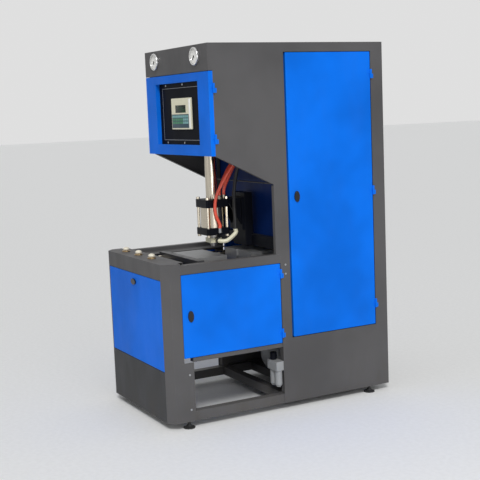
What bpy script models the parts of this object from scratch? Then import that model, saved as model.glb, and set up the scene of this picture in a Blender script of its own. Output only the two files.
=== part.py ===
"""Semi-automatic stretch blow moulding machine with one cavity, modelled in metres with +Z up.

The frame's origin is on the floor under the middle of the machine. The operator stands at -Y.
"""

import math

import bmesh
import bpy
from mathutils import Matrix, Vector

# Overall size
WIDTH = 0.800
LENGTH = 1.400
HEIGHT = 2.000
FLOOR_CLEARANCE = 0.040

# Sheet, tube and fits
SEAT = 0.0003
WELD = 0.0015
REVEAL = 0.003
RUNNING_GAP = 0.0004
SHEET = 0.003
TUBE = 0.040
DOOR_WALL = 0.002
DOOR_DEPTH = 0.020
DOOR_FOLD_RADIUS = 0.002
RETURN = 0.025

# Base, with distances back from the front face
TABLE_TOP = 0.881
FRONT_BAND = 0.084
FRONT_RAIL_DEPTH = 0.130
SKIRT_TOP = 0.311
POST_LIP = 0.005
POST_CHAMFER = 0.038
POST_BACK = 0.096
POST_FOOT_BACK = 0.150
SIDE_RAIL_DROP = 0.011
SIDE_RAIL_HEIGHT = 0.048
MID_RAIL_TOP = 0.377
MID_RAIL_HEIGHT = 0.022
SILL = 0.050
TABLE_STRIP_DROP = 0.020
TABLE_STRIP_THICKNESS = 0.005

# Side plates and head, with distances back from the front face
HEAD_FRONT = 0.305
HEAD_DOOR_DEPTH = 0.025
BAND_HEIGHT = 0.140
THROAT_HEIGHT = 0.369
HEAD_SLOPE_RISE = 0.170
STRIP_FRONT = 0.670
STRIP_STEP = 0.025
STRIP_WIDTH = 0.060
UPRIGHT_SET_BACK = 0.005
CABINET_REAR_FRAME = 0.080
CABINET_TOP_FRAME = 0.050
CABINET_DOOR_BOTTOM = 0.400
CABINET_DOOR_SHADOW = 0.012
COVER_DEPTH = 0.030
THROAT_WALL_GAP = 0.005
THROAT_WALL_RISE = 0.009
BEAM_HEIGHT = 0.060
HEAD_BEAM_RISE = 0.250

# Head door, with its panel and display unit
WINDOW_HALF = 0.270
WINDOW_SILL = 0.056
WINDOW_HEADER = 0.047
PANEL_MARGIN = 0.020
PANEL_SHEET = 0.003
UNIT_WIDTH = 0.245
UNIT_HEIGHT = 0.170
UNIT_SHIFT = 0.0255
UNIT_PROUD = 0.012
SCREEN_WIDTH = 0.134
SCREEN_HEIGHT = 0.042
SCREEN_SHIFT = -0.0055
SCREEN_DROP = 0.038
SCREEN_RECESS = 0.002
KEYPAD_HEIGHT = 0.063
KEYPAD_RISE = 0.015
SCREW_LEFT_INSET = 0.085
SCREW_RIGHT_INSET = 0.020
SCREW_EDGE_INSET = 0.010

# Gauges
GAUGE_SPREAD = 0.258
GAUGE_DROP = 0.060
GAUGE_RADIUS = 0.0475
GAUGE_BODY_RADIUS = 0.040
GAUGE_PROUD = 0.014
GAUGE_DIAL_RADIUS = 0.041
GAUGE_DIAL_RECESS = 0.009
GAUGE_BODY_DEPTH = 0.045
GAUGE_PIVOT = 0.003
NEEDLE_LENGTH = 0.032
NEEDLE_THICKNESS = 0.0012
NEEDLE_HUB = 0.005
NEEDLE_ZERO = math.radians(225)

# Clamp unit, with distances back from the front face
PLATEN_FRONT = 0.270
PLATEN_THICKNESS = 0.040
PLATEN_EDGE = 0.045
PLATEN_DROP = 0.021
REAR_PLATEN_GAP = 0.084
MOULD_THICKNESS = 0.1875
MOULD_HALF = 0.155
MOULD_HEIGHT = 0.300
CLAMP_STROKE = 0.150
TIE_BAR_RADIUS = 0.0175
TIE_BAR_CLEARANCE = 0.0325
TIE_BAR_INSET = 0.042
TIE_BAR_OVERHANG = 0.030
CLAMP_ROD_RADIUS = 0.025
CLAMP_PISTON_LENGTH = 0.030
CLAMP_BORE = 0.070
CLAMP_WALL = 0.010
CLAMP_CAP_LIP = 0.012
CLAMP_CAP = 0.030
CLAMP_LENGTH = 0.300
BED_BEAM = 0.060
BED_RAIL_WIDTH = 0.040
BED_RAIL_HEIGHT = 0.040
BED_RAIL_SPREAD = 0.170
BED_LEAD = 0.050
BED_TAIL = 0.080

# Bottle cavity in the two mould halves
BOTTLE_BASE = 0.040
BOTTLE_RADIUS = 0.042
BOTTLE_SHOULDER_DROP = 0.090
BOTTLE_NECK_RADIUS = 0.0135
BOTTLE_NECK_DROP = 0.035
BOTTLE_HEEL = 0.006

# Blow unit
LOW_FLANGE_RISE = 0.084
LOW_FLANGE_THICKNESS = 0.038
SEAL_BARREL_RADIUS = 0.0675
SEAL_BARREL_WALL = 0.010
SEAL_BARREL_LENGTH = 0.115
FLANGE_LIP = 0.0035
FLANGE_CORNER = 0.008
TOP_FLANGE_THICKNESS = 0.045
TIE_ROD_RADIUS = 0.0085
TIE_ROD_INSET = 0.012
TIE_NUT_RADIUS = 0.011
TIE_NUT_HEIGHT = 0.012
STRETCH_BARREL_RADIUS = 0.0335
STRETCH_BARREL_WALL = 0.0045
STRETCH_BARREL_LENGTH = 0.396
STRETCH_ROD_RADIUS = 0.006
STRETCH_PISTON_HEIGHT = 0.020
STRETCH_HEADROOM = 0.030
NOZZLE_LIFT = 0.036
NOZZLE_TIP_RADIUS = 0.015
NOZZLE_BODY_RADIUS = 0.024
NOZZLE_ROD_RADIUS = 0.030
NOZZLE_SHOULDER_DROP = 0.015
NOZZLE_PISTON_HEIGHT = 0.030
NOZZLE_HEADROOM = 0.013
COLLAR_GAP = 0.006
COLLAR_HEIGHT = 0.026
COLLAR_HALF = 0.034

# Hoses and their fittings
ELBOW_RADIUS = 0.012
ELBOW_RISE = 0.075
HOSE_DROP = 0.100
BLOW_HOSE_RADIUS = 0.010
BLOW_HOSE_BACK = 0.092
BLOW_HOSE_GAP = 0.0105
BLOW_HOSE_SHIFT = 0.100
RED_HOSE_RADIUS = 0.009
FITTING_RADIUS = 0.010
FITTING_LENGTH = 0.022
LOW_HOSE_GAP = 0.0125
HOSE_PITCH = 0.035
TOP_FITTING_INSET = 0.0125
TOP_FITTING_SHIFT = 0.017

# Column that carries the blow unit
COLUMN_HALF = 0.075
COLUMN_DEPTH = 0.050
COLUMN_OVERHANG = 0.036
COLUMN_RISE = 0.026
BRACKET_PLATE = 0.018
BRACKET_HEIGHT = 0.180
BRACKET_HALF = 0.065
BRACKET_RIB = 0.012
BRACKET_ARM = 0.022

# Air equipment
TANK_RADIUS = 0.110
TANK_GAP = 0.025
TANK_LENGTH = 0.520
TANK_REAR_GAP = 0.080
SADDLE_INSET = 0.100
SADDLE_SPACING = 0.300
SADDLE_WIDTH = 0.040
MANIFOLD_HALF = 0.120
MANIFOLD_X = 0.130
MANIFOLD_HEIGHT = 0.050
MANIFOLD_DEPTH = 0.060
VALVE_COUNT = 5
VALVE_WIDTH = 0.036
VALVE_HEIGHT = 0.055
FILTER_HEIGHT = 0.250
FILTER_BLOCK = 0.050
FILTER_SPACING = 0.050
FILTER_BOWL_RADIUS = 0.021
FILTER_BOWL_LENGTH = 0.095
KNOB_RADIUS = 0.019
KNOB_HEIGHT = 0.042

# Buttons on the front rail
BUTTON_XS = (-0.250, -0.070, 0.110)
BUTTON_NAMES = ("left", "middle", "right")
BUTTON_BACK = 0.065
BUTTON_RADIUS = 0.018
BUTTON_DOME = 0.011
BUTTON_STEM_RADIUS = 0.010
BUTTON_TRAVEL = 0.005
COLLAR_RING_RADIUS = 0.023
COLLAR_RING_HEIGHT = 0.007
RAIL_HOLE_RADIUS = 0.012

# Locks and hinges
LOCK_LONG = 0.060
LOCK_SHORT = 0.032
LOCK_PROUD = 0.007
LOCK_SPINDLE = 0.007
LOCK_CAM = 0.028
LOCK_CAM_WIDTH = 0.014
LOCK_CAM_THICKNESS = 0.003
LOCK_INSET = 0.045
KNUCKLE_RADIUS = 0.006
KNUCKLE_LENGTH = 0.025
LEAF_THICKNESS = 0.002
LEAF_LENGTH = 0.018
HEAD_HINGE_INSET = 0.062
SIDE_HINGE_INSET = 0.030
CABINET_HINGE_INSET = 0.097
PIVOT_RADIUS = 0.003
PIVOT_INSET = 0.006

# Feet and bolts
FOOT_RADIUS = 0.032
FOOT_PAD = 0.012
FOOT_STUD_RADIUS = 0.009
FOOT_INSET = 0.120
BOLT_RADIUS = 0.006
BOLT_HEAD = 0.003
POST_BOLT_INSET = 0.064
STRIP_BOLT_DROP = 0.060
STRIP_BOLT_PITCH = 0.050

ROUND = 20

# Widths and depths worked out from the sizes above
SIDE = WIDTH / 2
FRONT = -LENGTH / 2
BACK = LENGTH / 2
REAR_FACE_Y = BACK - SHEET - SEAT
INSIDE = SIDE - SHEET - SEAT
UPRIGHT_INNER = INSIDE - TUBE
PANEL_HALF = SIDE - POST_CHAMFER - POST_LIP
HINGE_X = SIDE + KNUCKLE_RADIUS
HEAD_FRONT_Y = FRONT + HEAD_FRONT
HEAD_BACK_Y = HEAD_FRONT_Y + HEAD_DOOR_DEPTH
STRIP_Y = FRONT + STRIP_FRONT
STRIP_LOW_Y = STRIP_Y + STRIP_STEP
STRIP_BACK_Y = STRIP_LOW_Y + STRIP_WIDTH
BEAM_FRONT_Y = STRIP_LOW_Y + UPRIGHT_SET_BACK
THROAT_WALL_Y = BEAM_FRONT_Y + TUBE + THROAT_WALL_GAP
CABINET_REAR_Y = BACK - CABINET_REAR_FRAME
SIDE_HINGE_Y = STRIP_LOW_Y - REVEAL / 2
CABINET_HINGE_Y = CABINET_REAR_Y - REVEAL / 2
MOULD_FRONT_Y = FRONT + PLATEN_FRONT + PLATEN_THICKNESS + SEAT
BLOW_Y = MOULD_FRONT_Y + MOULD_THICKNESS + SEAT / 2
MOVING_FACE_Y = BLOW_Y + SEAT / 2 + CLAMP_STROKE
MOVING_PLATEN_Y = MOVING_FACE_Y + MOULD_THICKNESS + SEAT
REAR_PLATEN_Y = MOVING_PLATEN_Y + PLATEN_THICKNESS + REAR_PLATEN_GAP
CLAMP_CYLINDER_Y = REAR_PLATEN_Y + PLATEN_THICKNESS + SEAT
TIE_BAR_SPREAD = MOULD_HALF + TIE_BAR_CLEARANCE + TIE_BAR_RADIUS
PLATEN_HALF = TIE_BAR_SPREAD + PLATEN_EDGE
BED_FRONT_Y = FRONT + PLATEN_FRONT - BED_LEAD
BED_BACK_Y = REAR_PLATEN_Y + PLATEN_THICKNESS + BED_TAIL
TANK_FRONT_Y = BACK - TANK_REAR_GAP - TANK_LENGTH
SADDLE_Y = TANK_FRONT_Y + SADDLE_INSET
COLUMN_Y = BEAM_FRONT_Y - COLUMN_OVERHANG
HALF_FLANGE = SEAL_BARREL_RADIUS + FLANGE_LIP
TIE_ROD_SPREAD = HALF_FLANGE - TIE_ROD_INSET
BLOW_HOSE_X = HALF_FLANGE + ELBOW_RADIUS + BLOW_HOSE_GAP
LOW_HOSE_X = HALF_FLANGE + LOW_HOSE_GAP

# Heights worked out from the sizes above
SIDE_RAIL_TOP = TABLE_TOP - SIDE_RAIL_DROP
TABLE_STRIP_TOP = SIDE_RAIL_TOP - TABLE_STRIP_DROP
POST_FOOT_TOP = MID_RAIL_TOP - MID_RAIL_HEIGHT
PANEL_TOP = TABLE_TOP - FRONT_BAND - REVEAL
SIDE_DOOR_LOW = MID_RAIL_TOP + REVEAL
SIDE_DOOR_TOP = SIDE_RAIL_TOP - SIDE_RAIL_HEIGHT - REVEAL
CABINET_TOP = HEIGHT - CABINET_TOP_FRAME
CABINET_DOOR_LOW = CABINET_DOOR_BOTTOM + REVEAL
CABINET_DOOR_TOP = CABINET_TOP - REVEAL
BAND_BOTTOM = HEIGHT - BAND_HEIGHT
GAUGE_Z = HEIGHT - GAUGE_DROP
HEAD_LOW_BACK = TABLE_TOP + THROAT_HEIGHT
HEAD_LOW_FRONT = HEAD_LOW_BACK + HEAD_SLOPE_RISE
HEAD_DOOR_TOP = BAND_BOTTOM - REVEAL
HEAD_BEAM_BOTTOM = HEAD_LOW_BACK + HEAD_BEAM_RISE
THROAT_WALL_BOTTOM = TABLE_TOP + THROAT_WALL_RISE
WINDOW_BOTTOM = HEAD_LOW_FRONT + WINDOW_SILL
WINDOW_TOP = BAND_BOTTOM - WINDOW_HEADER
BED_BEAM_BOTTOM = MID_RAIL_TOP + SEAT
BED_RAIL_BOTTOM = BED_BEAM_BOTTOM + BED_BEAM - WELD
PLATEN_BOTTOM = BED_RAIL_BOTTOM + BED_RAIL_HEIGHT + SEAT
PLATEN_TOP = TABLE_TOP - PLATEN_DROP
CLAMP_AXIS = (PLATEN_BOTTOM + PLATEN_TOP) / 2
MOULD_BOTTOM = PLATEN_TOP - MOULD_HEIGHT
LOW_FLANGE_BOTTOM = TABLE_TOP + LOW_FLANGE_RISE
LOW_FLANGE_TOP = LOW_FLANGE_BOTTOM + LOW_FLANGE_THICKNESS
SEAL_BARREL_BOTTOM = LOW_FLANGE_TOP + SEAT
SEAL_BARREL_TOP = SEAL_BARREL_BOTTOM + SEAL_BARREL_LENGTH
TOP_FLANGE_BOTTOM = SEAL_BARREL_TOP + SEAT
TOP_FLANGE_TOP = TOP_FLANGE_BOTTOM + TOP_FLANGE_THICKNESS
STRETCH_BARREL_BOTTOM = TOP_FLANGE_TOP + SEAT
STRETCH_BARREL_TOP = STRETCH_BARREL_BOTTOM + STRETCH_BARREL_LENGTH
NOZZLE_TIP = PLATEN_TOP + NOZZLE_LIFT
NOZZLE_SHOULDER = LOW_FLANGE_BOTTOM - NOZZLE_SHOULDER_DROP
NOZZLE_PISTON_TOP = SEAL_BARREL_TOP - NOZZLE_HEADROOM
COLLAR_BOTTOM = NOZZLE_SHOULDER - COLLAR_GAP - COLLAR_HEIGHT
ELBOW_TOP = COLLAR_BOTTOM + ELBOW_RISE

# Planes for flat outlines: the outline's own x and y run along these axes
YZ_PLANE = Matrix(((0, 0, 1, 0), (1, 0, 0, 0), (0, 1, 0, 0), (0, 0, 0, 1)))
XZ_PLANE = Matrix(((1, 0, 0, 0), (0, 0, -1, 0), (0, 1, 0, 0), (0, 0, 0, 1)))
XY_PLANE = Matrix.Identity(4)

for old in list(bpy.data.objects):
    bpy.data.objects.remove(old)

PARTS = bpy.data.collections.new("blow_moulding_machine")
CUTTERS = bpy.data.collections.new("cutters")
for group in (PARTS, CUTTERS):
    bpy.context.scene.collection.children.link(group)


def paint(name, colour, roughness, metallic=0.0):
    """A Principled material of one colour."""
    material = bpy.data.materials.new(name)
    material.use_nodes = True
    shader = material.node_tree.nodes["Principled BSDF"]
    shader.inputs["Base Color"].default_value = (*colour, 1)
    shader.inputs["Roughness"].default_value = roughness
    shader.inputs["Metallic"].default_value = metallic
    return material


BLUE = paint("blue_powder_coat", (0.012, 0.125, 0.62), 0.42)
GREY = paint("grey_powder_coat", (0.115, 0.112, 0.108), 0.55)
BLACK = paint("black_enamel", (0.012, 0.012, 0.014), 0.45)
STEEL = paint("ground_steel", (0.50, 0.50, 0.49), 0.35, 1.0)
CHROME = paint("hard_chrome", (0.80, 0.79, 0.76), 0.14, 1.0)
ALUMINIUM = paint("mould_aluminium", (0.72, 0.73, 0.74), 0.32, 1.0)
RUBBER = paint("black_rubber", (0.02, 0.02, 0.02), 0.75)
CREAM = paint("cream_plastic", (0.80, 0.76, 0.62), 0.40)
RED = paint("red_hose", (0.70, 0.035, 0.02), 0.38)
TANK = paint("tank_grey", (0.30, 0.31, 0.32), 0.50)


def keep(obj, material=None):
    """Puts an object in the machine's collection with its material."""
    PARTS.objects.link(obj)
    if material:
        obj.data.materials.append(material)
    if obj.type == "MESH" and obj.data.polygons:
        obj.data.shade_smooth()
        obj.data.set_sharp_from_angle(angle=math.radians(32))
    return obj


def helper(obj):
    """Puts an object with the cutters, out of the render."""
    CUTTERS.objects.link(obj)
    obj.hide_render = True
    obj.display_type = "WIRE"
    return obj


def as_object(name, bm):
    """A loose object made from a bmesh, with its faces turned outward."""
    bmesh.ops.recalc_face_normals(bm, faces=bm.faces)
    mesh = bpy.data.meshes.new(name)
    bm.to_mesh(mesh)
    bm.free()
    return bpy.data.objects.new(name, mesh)


def fixed_mesh(obj):
    """Replaces a linked object by a plain mesh object of its evaluated shape."""
    bpy.context.view_layer.update()
    graph = bpy.context.evaluated_depsgraph_get()
    mesh = bpy.data.meshes.new_from_object(obj.evaluated_get(graph))
    mesh.transform(obj.matrix_world)
    name = obj.name
    bpy.data.objects.remove(obj)
    bm = bmesh.new()
    bm.from_mesh(mesh)
    bmesh.ops.remove_doubles(bm, verts=bm.verts, dist=1e-6)
    bmesh.ops.dissolve_degenerate(bm, edges=bm.edges, dist=1e-6)
    return as_object(name, bm)


def put_box(bm, low, high):
    """Adds a box between two corners."""
    low, high = Vector(low), Vector(high)
    size = Matrix.Diagonal((*(high - low), 1))
    return bmesh.ops.create_cube(bm, size=1, matrix=Matrix.Translation((low + high) / 2) @ size)


def put_rod(bm, start, end, radius, end_radius=None, segments=ROUND):
    """Adds a rod or cone from one point to another."""
    start, end = Vector(start), Vector(end)
    turn = (end - start).to_track_quat("Z", "Y").to_matrix().to_4x4()
    bmesh.ops.create_cone(
        bm,
        cap_ends=True,
        segments=segments,
        radius1=radius,
        radius2=radius if end_radius is None else end_radius,
        depth=(end - start).length,
        matrix=Matrix.Translation((start + end) / 2) @ turn,
    )


def box(name, low, high):
    bm = bmesh.new()
    put_box(bm, low, high)
    return as_object(name, bm)


def boxes(name, corners):
    """Separate boxes in one object."""
    bm = bmesh.new()
    for low, high in corners:
        put_box(bm, low, high)
    return as_object(name, bm)


def rod(name, start, end, radius, end_radius=None, segments=ROUND):
    bm = bmesh.new()
    put_rod(bm, start, end, radius, end_radius, segments)
    return as_object(name, bm)


def cut(obj, cutter):
    """Takes a helper's shape away from an object."""
    modifier = obj.modifiers.new("Cut", "BOOLEAN")
    modifier.operation = "DIFFERENCE"
    modifier.object = helper(cutter)
    return obj


def join(obj, other):
    """Welds a helper's shape to an object."""
    modifier = obj.modifiers.new("Weld", "BOOLEAN")
    modifier.operation = "UNION"
    modifier.object = helper(other)
    return obj


def folded(obj, wall, side=-1.0):
    """Gives an open surface a wall, inward of its faces by default."""
    modifier = obj.modifiers.new("Wall", "SOLIDIFY")
    modifier.thickness = wall
    modifier.offset = side
    modifier.use_even_offset = True
    return obj


def open_box(bm, low, high, open_sides):
    """Adds a box without the faces that look along the given directions."""
    new = set(put_box(bm, low, high)["verts"])
    faces = [face for face in bm.faces if new.issuperset(face.verts)]
    bmesh.ops.recalc_face_normals(bm, faces=faces)
    gone = [face for face in faces if any(face.normal.dot(Vector(side)) > 0.9 for side in open_sides)]
    bmesh.ops.delete(bm, geom=gone, context="FACES_ONLY")


def pan(name, low, high, open_side, wall):
    """A folded tray, open on one side, with its outer folds rounded."""
    bm = bmesh.new()
    open_box(bm, low, high, (Vector(open_side),))
    mesh = bpy.data.meshes.new(name)
    bm.to_mesh(mesh)
    bm.free()
    obj = bpy.data.objects.new(name, mesh)
    fold = obj.modifiers.new("Fold", "BEVEL")
    fold.width = DOOR_FOLD_RADIUS
    fold.segments = 1
    return folded(obj, wall)


def circle(x, y, radius, points=ROUND):
    """The points of a round hole in an outline."""
    turns = (2 * math.pi * step / points for step in range(points))
    return [(x + radius * math.cos(turn), y + radius * math.sin(turn)) for turn in turns]


def rectangle(x_low, y_low, x_high, y_high):
    return [(x_low, y_low), (x_high, y_low), (x_high, y_high), (x_low, y_high)]


def oval(long_half, short_half, points=16):
    turns = (2 * math.pi * step / points for step in range(points))
    return [(long_half * math.cos(turn), short_half * math.sin(turn)) for turn in turns]


def plate(name, outlines, plane, low, high):
    """A flat plate cut to outlines in a plane, inner ones being holes, from low to high across the plane."""
    curve = bpy.data.curves.new(name, "CURVE")
    curve.dimensions = "2D"
    curve.fill_mode = "BOTH"
    curve.extrude = (high - low) / 2
    for outline in outlines:
        spline = curve.splines.new("POLY")
        spline.points.add(len(outline) - 1)
        for point, (x, y) in zip(spline.points, outline):
            point.co = (x, y, 0, 1)
        spline.use_cyclic_u = True
    obj = bpy.data.objects.new(name, curve)
    across = plane.to_3x3() @ Vector((0, 0, 1))
    sign = 1 if sum(across) > 0 else -1
    obj.matrix_world = plane @ Matrix.Translation((0, 0, sign * (low + high) / 2))
    CUTTERS.objects.link(obj)
    return fixed_mesh(obj)


def sheet(name, path, along, wall):
    """A sheet folded along its middle line at the points of a path and drawn out along a vector."""
    bm = bmesh.new()
    points = [bm.verts.new(point) for point in path]
    edges = [bm.edges.new(pair) for pair in zip(points, points[1:])]
    drawn = bmesh.ops.extrude_edge_only(bm, edges=edges)["geom"]
    moved = [item for item in drawn if isinstance(item, bmesh.types.BMVert)]
    bmesh.ops.translate(bm, verts=moved, vec=Vector(along))
    return folded(as_object(name, bm), wall, 0.0)


def turned(name, profile, closed=False, steps=ROUND):
    """Revolves a profile of (radius, height) about Z, given from the top down its outer side."""
    bm = bmesh.new()
    points = [bm.verts.new((radius, 0, height)) for radius, height in profile]
    pairs = list(zip(points, points[1:]))
    if closed:
        pairs.append((points[-1], points[0]))
    for pair in pairs:
        bm.edges.new(pair)
    mesh = bpy.data.meshes.new(name)
    bm.to_mesh(mesh)
    bm.free()
    obj = bpy.data.objects.new(name, mesh)
    screw = obj.modifiers.new("Turn", "SCREW")
    screw.steps = screw.render_steps = steps
    screw.use_merge_vertices = True
    screw.merge_threshold = 1e-5
    screw.use_normal_calculate = True
    return obj


def placed(obj, position, axis=(0, 0, 1)):
    """Moves a turned piece to its place, its own +Z along an axis, and keeps it as a plain mesh."""
    turn = Vector(axis).to_track_quat("Z", "Y").to_matrix().to_4x4()
    obj.matrix_world = Matrix.Translation(position) @ turn
    CUTTERS.objects.link(obj)
    return fixed_mesh(obj)


def smooth_route(points, steps=3):
    """Points of a smooth curve through the given ones, straight at both ends."""
    knots = [Vector(point) for point in points]
    first, last = knots[0], knots[-1]
    knots[0] = first.lerp(knots[1], 0.15)
    knots[-1] = last.lerp(knots[-2], 0.15)
    knots = [2 * knots[0] - knots[1], *knots, 2 * knots[-1] - knots[-2]]
    route = [first]
    for a, b, c, d in zip(knots, knots[1:], knots[2:], knots[3:]):
        for step in range(steps):
            t = step / steps
            pull = (2 * a - 5 * b + 4 * c - d) * t + (3 * b - a - 3 * c + d) * t * t
            route.append(b + ((c - a) + pull) * t / 2)
    return [*route, knots[-2], last]


def hose(name, points, radius, sides=2):
    """A round hose along a smooth route, closed at both ends."""
    curve = bpy.data.curves.new(name, "CURVE")
    curve.dimensions = "3D"
    curve.bevel_depth = radius
    curve.bevel_resolution = sides
    curve.use_fill_caps = True
    route = smooth_route(points)
    spline = curve.splines.new("POLY")
    spline.points.add(len(route) - 1)
    for point, place in zip(spline.points, route):
        point.co = (*place, 1)
    obj = bpy.data.objects.new(name, curve)
    CUTTERS.objects.link(obj)
    return fixed_mesh(obj)


def merged(name, objects):
    """Separate solids kept together in one object."""
    bm = bmesh.new()
    for obj in objects:
        bm.from_mesh(obj.data)
        bpy.data.objects.remove(obj)
    return as_object(name, bm)


def mirrored(corners):
    """Boxes on the right side, with their twins on the left."""
    twins = [((-high[0], low[1], low[2]), (-low[0], high[1], high[2])) for low, high in corners]
    return corners + twins


def hang(obj, pivot):
    """Puts a moving piece's origin on its joint's axis, without moving the piece."""
    obj.data.transform(Matrix.Translation(-Vector(pivot)))
    obj.location = pivot
    return obj


def hinge_heights(low, high, inset, count):
    """The lower ends of evenly spaced hinges on a door, the same distance in from its two ends."""
    first, last = low + inset, high - inset - 2 * KNUCKLE_LENGTH
    return [first + (last - first) * step / (count - 1) for step in range(count)]


def build_base_frame():
    """The ladder of sills and cross members, on four levelling feet."""
    bottom = FLOOR_CLEARANCE
    top = bottom + SILL
    inner = INSIDE - SILL
    front = FRONT + POST_CHAMFER + 2 * SHEET
    rear = REAR_FACE_Y
    sill = ((inner, front, bottom), (INSIDE, rear, top))
    saddle_y = SADDLE_Y + (SADDLE_WIDTH - SILL) / 2
    fronts = (front + SHEET, BEAM_FRONT_Y, saddle_y, saddle_y + SADDLE_SPACING, rear - SILL - SHEET)
    reach = inner + WELD
    frame = boxes("base_frame", mirrored([sill]))
    for number, y in enumerate(fronts):
        corners = (-reach, y, bottom + WELD), (reach, y + SILL, top - WELD)
        join(frame, box(f"base_member_{number}", *corners))

    profile = [
        (0, bottom + SILL / 2),
        (FOOT_STUD_RADIUS, bottom + SILL / 2),
        (FOOT_STUD_RADIUS, FOOT_PAD + FOOT_STUD_RADIUS),
        (FOOT_STUD_RADIUS * 2, FOOT_PAD),
        (FOOT_RADIUS, FOOT_PAD / 2),
        (FOOT_RADIUS, 0),
        (0, 0),
    ]
    feet = [
        placed(turned("foot", profile, steps=10), (side * (INSIDE - SILL / 2), y, 0))
        for side in (-1, 1)
        for y in (FRONT + FOOT_INSET, BACK - FOOT_INSET)
    ]
    keep(join(frame, merged("levelling_feet", feet)), GREY)


def one_side(side, corners):
    """Boxes given for the right, moved to the side asked for."""
    return corners if side > 0 else mirrored(corners)[len(corners):]


def build_side_frames():
    """On each side the throat's upright, the side rail, the mid rails and the table strip, as one."""
    rear = REAR_FACE_Y
    foot = FLOOR_CLEARANCE + SILL + SEAT
    top = HEIGHT - COVER_DEPTH - SEAT
    mid_low = POST_FOOT_TOP
    rail_low = SIDE_RAIL_TOP - SIDE_RAIL_HEIGHT
    upright = ((UPRIGHT_INNER, BEAM_FRONT_Y, foot), (INSIDE, BEAM_FRONT_Y + TUBE, top))
    mid_inner, mid_outer = UPRIGHT_INNER + WELD, INSIDE - WELD
    mid_rails = [
        (
            (mid_inner, FRONT + POST_FOOT_BACK + SEAT, mid_low),
            (mid_outer, BEAM_FRONT_Y + WELD, MID_RAIL_TOP),
        ),
        (
            (mid_inner, BEAM_FRONT_Y + TUBE - WELD, mid_low),
            (mid_outer, rear - TUBE - SEAT, MID_RAIL_TOP),
        ),
    ]
    side_rail = (
        (SIDE - TUBE, FRONT + POST_BACK + SEAT, rail_low),
        (SIDE, STRIP_LOW_Y - SEAT, SIDE_RAIL_TOP),
    )
    neck = (
        (SIDE - TUBE + WELD, STRIP_LOW_Y - 2 * WELD, rail_low + WELD),
        (INSIDE - WELD, BEAM_FRONT_Y + WELD, SIDE_RAIL_TOP - WELD),
    )
    strip = (
        (PLATEN_HALF + REVEAL, FRONT + FRONT_RAIL_DEPTH + SEAT, TABLE_STRIP_TOP - TABLE_STRIP_THICKNESS),
        (SIDE - TUBE + WELD, BEAM_FRONT_Y - SEAT, TABLE_STRIP_TOP),
    )
    for label, side in (("left", -1), ("right", 1)):
        frame = boxes(f"side_frame_{label}", one_side(side, [upright, side_rail]))
        join(frame, boxes(f"side_neck_{label}", one_side(side, [neck, *mid_rails])))
        keep(join(frame, boxes(f"table_strip_{label}", one_side(side, [strip]))), GREY)


def build_clamp_bed():
    """Three cross beams on the mid rails and the two rails that carry the platens."""
    reach = SIDE - DOOR_DEPTH - SHEET
    beams = [
        ((-reach, y, BED_BEAM_BOTTOM), (reach, y + BED_BEAM, BED_BEAM_BOTTOM + BED_BEAM))
        for y in (BED_FRONT_Y + WELD, BEAM_FRONT_Y - BED_BEAM, BED_BACK_Y - BED_BEAM)
    ]
    rail_low = BED_RAIL_SPREAD - BED_RAIL_WIDTH / 2
    rails = [
        (
            (rail_low, BED_FRONT_Y, BED_RAIL_BOTTOM),
            (rail_low + BED_RAIL_WIDTH, BED_BACK_Y + WELD, BED_RAIL_BOTTOM + BED_RAIL_HEIGHT),
        )
    ]
    keep(join(boxes("clamp_bed", beams), boxes("bed_rails", mirrored(rails))), GREY)


def build_corner_posts():
    """Folded posts at the front corners, wider below the side doors, bolted at the foot."""
    half = SHEET / 2
    top = TABLE_TOP - SHEET - SEAT
    pivot_y, pivot_z = FRONT + PIVOT_INSET, SKIRT_TOP + REVEAL + PIVOT_INSET
    bolt_y = FRONT + (POST_BACK + POST_FOOT_BACK) / 2
    bolt_heights = (FLOOR_CLEARANCE + POST_BOLT_INSET, POST_FOOT_TOP - POST_BOLT_INSET)
    for label, side in (("left", -1), ("right", 1)):
        path = [
            (side * (PANEL_HALF + half), FRONT + RETURN, FLOOR_CLEARANCE),
            (side * (PANEL_HALF + half), FRONT + half, FLOOR_CLEARANCE),
            (side * (PANEL_HALF + POST_LIP), FRONT + half, FLOOR_CLEARANCE),
            (side * (SIDE - half), FRONT + POST_CHAMFER, FLOOR_CLEARANCE),
            (side * (SIDE - half), FRONT + POST_FOOT_BACK, FLOOR_CLEARANCE),
        ]
        post = sheet(f"corner_post_{label}", path, (0, 0, top - FLOOR_CLEARANCE), SHEET)
        step = boxes(
            f"post_step_{label}",
            one_side(
                side,
                [
                    (
                        (SIDE - 2 * SHEET, FRONT + POST_BACK, POST_FOOT_TOP),
                        (SIDE + SHEET, FRONT + POST_FOOT_BACK + SHEET, TABLE_TOP),
                    )
                ],
            ),
        )
        pivot_hole = rod(
            f"pivot_hole_{label}",
            (side * (PANEL_HALF - SHEET), pivot_y, pivot_z),
            (side * (PANEL_HALF + 2 * SHEET), pivot_y, pivot_z),
            PIVOT_RADIUS + RUNNING_GAP,
            segments=12,
        )
        cut(post, step)
        cut(post, pivot_hole)
        bolts = side_bolts(f"post_bolts_{label}", side, [(bolt_y, z) for z in bolt_heights])
        keep(join(post, bolts), GREY)


def side_bolts(name, side, places):
    """Bolt heads on a side face at the given (y, z)."""
    bm = bmesh.new()
    for y, z in places:
        ends = (side * (SIDE - SHEET / 2), y, z), (side * (SIDE + BOLT_HEAD), y, z)
        put_rod(bm, *ends, BOLT_RADIUS, segments=6)
    return as_object(name, bm)


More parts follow.
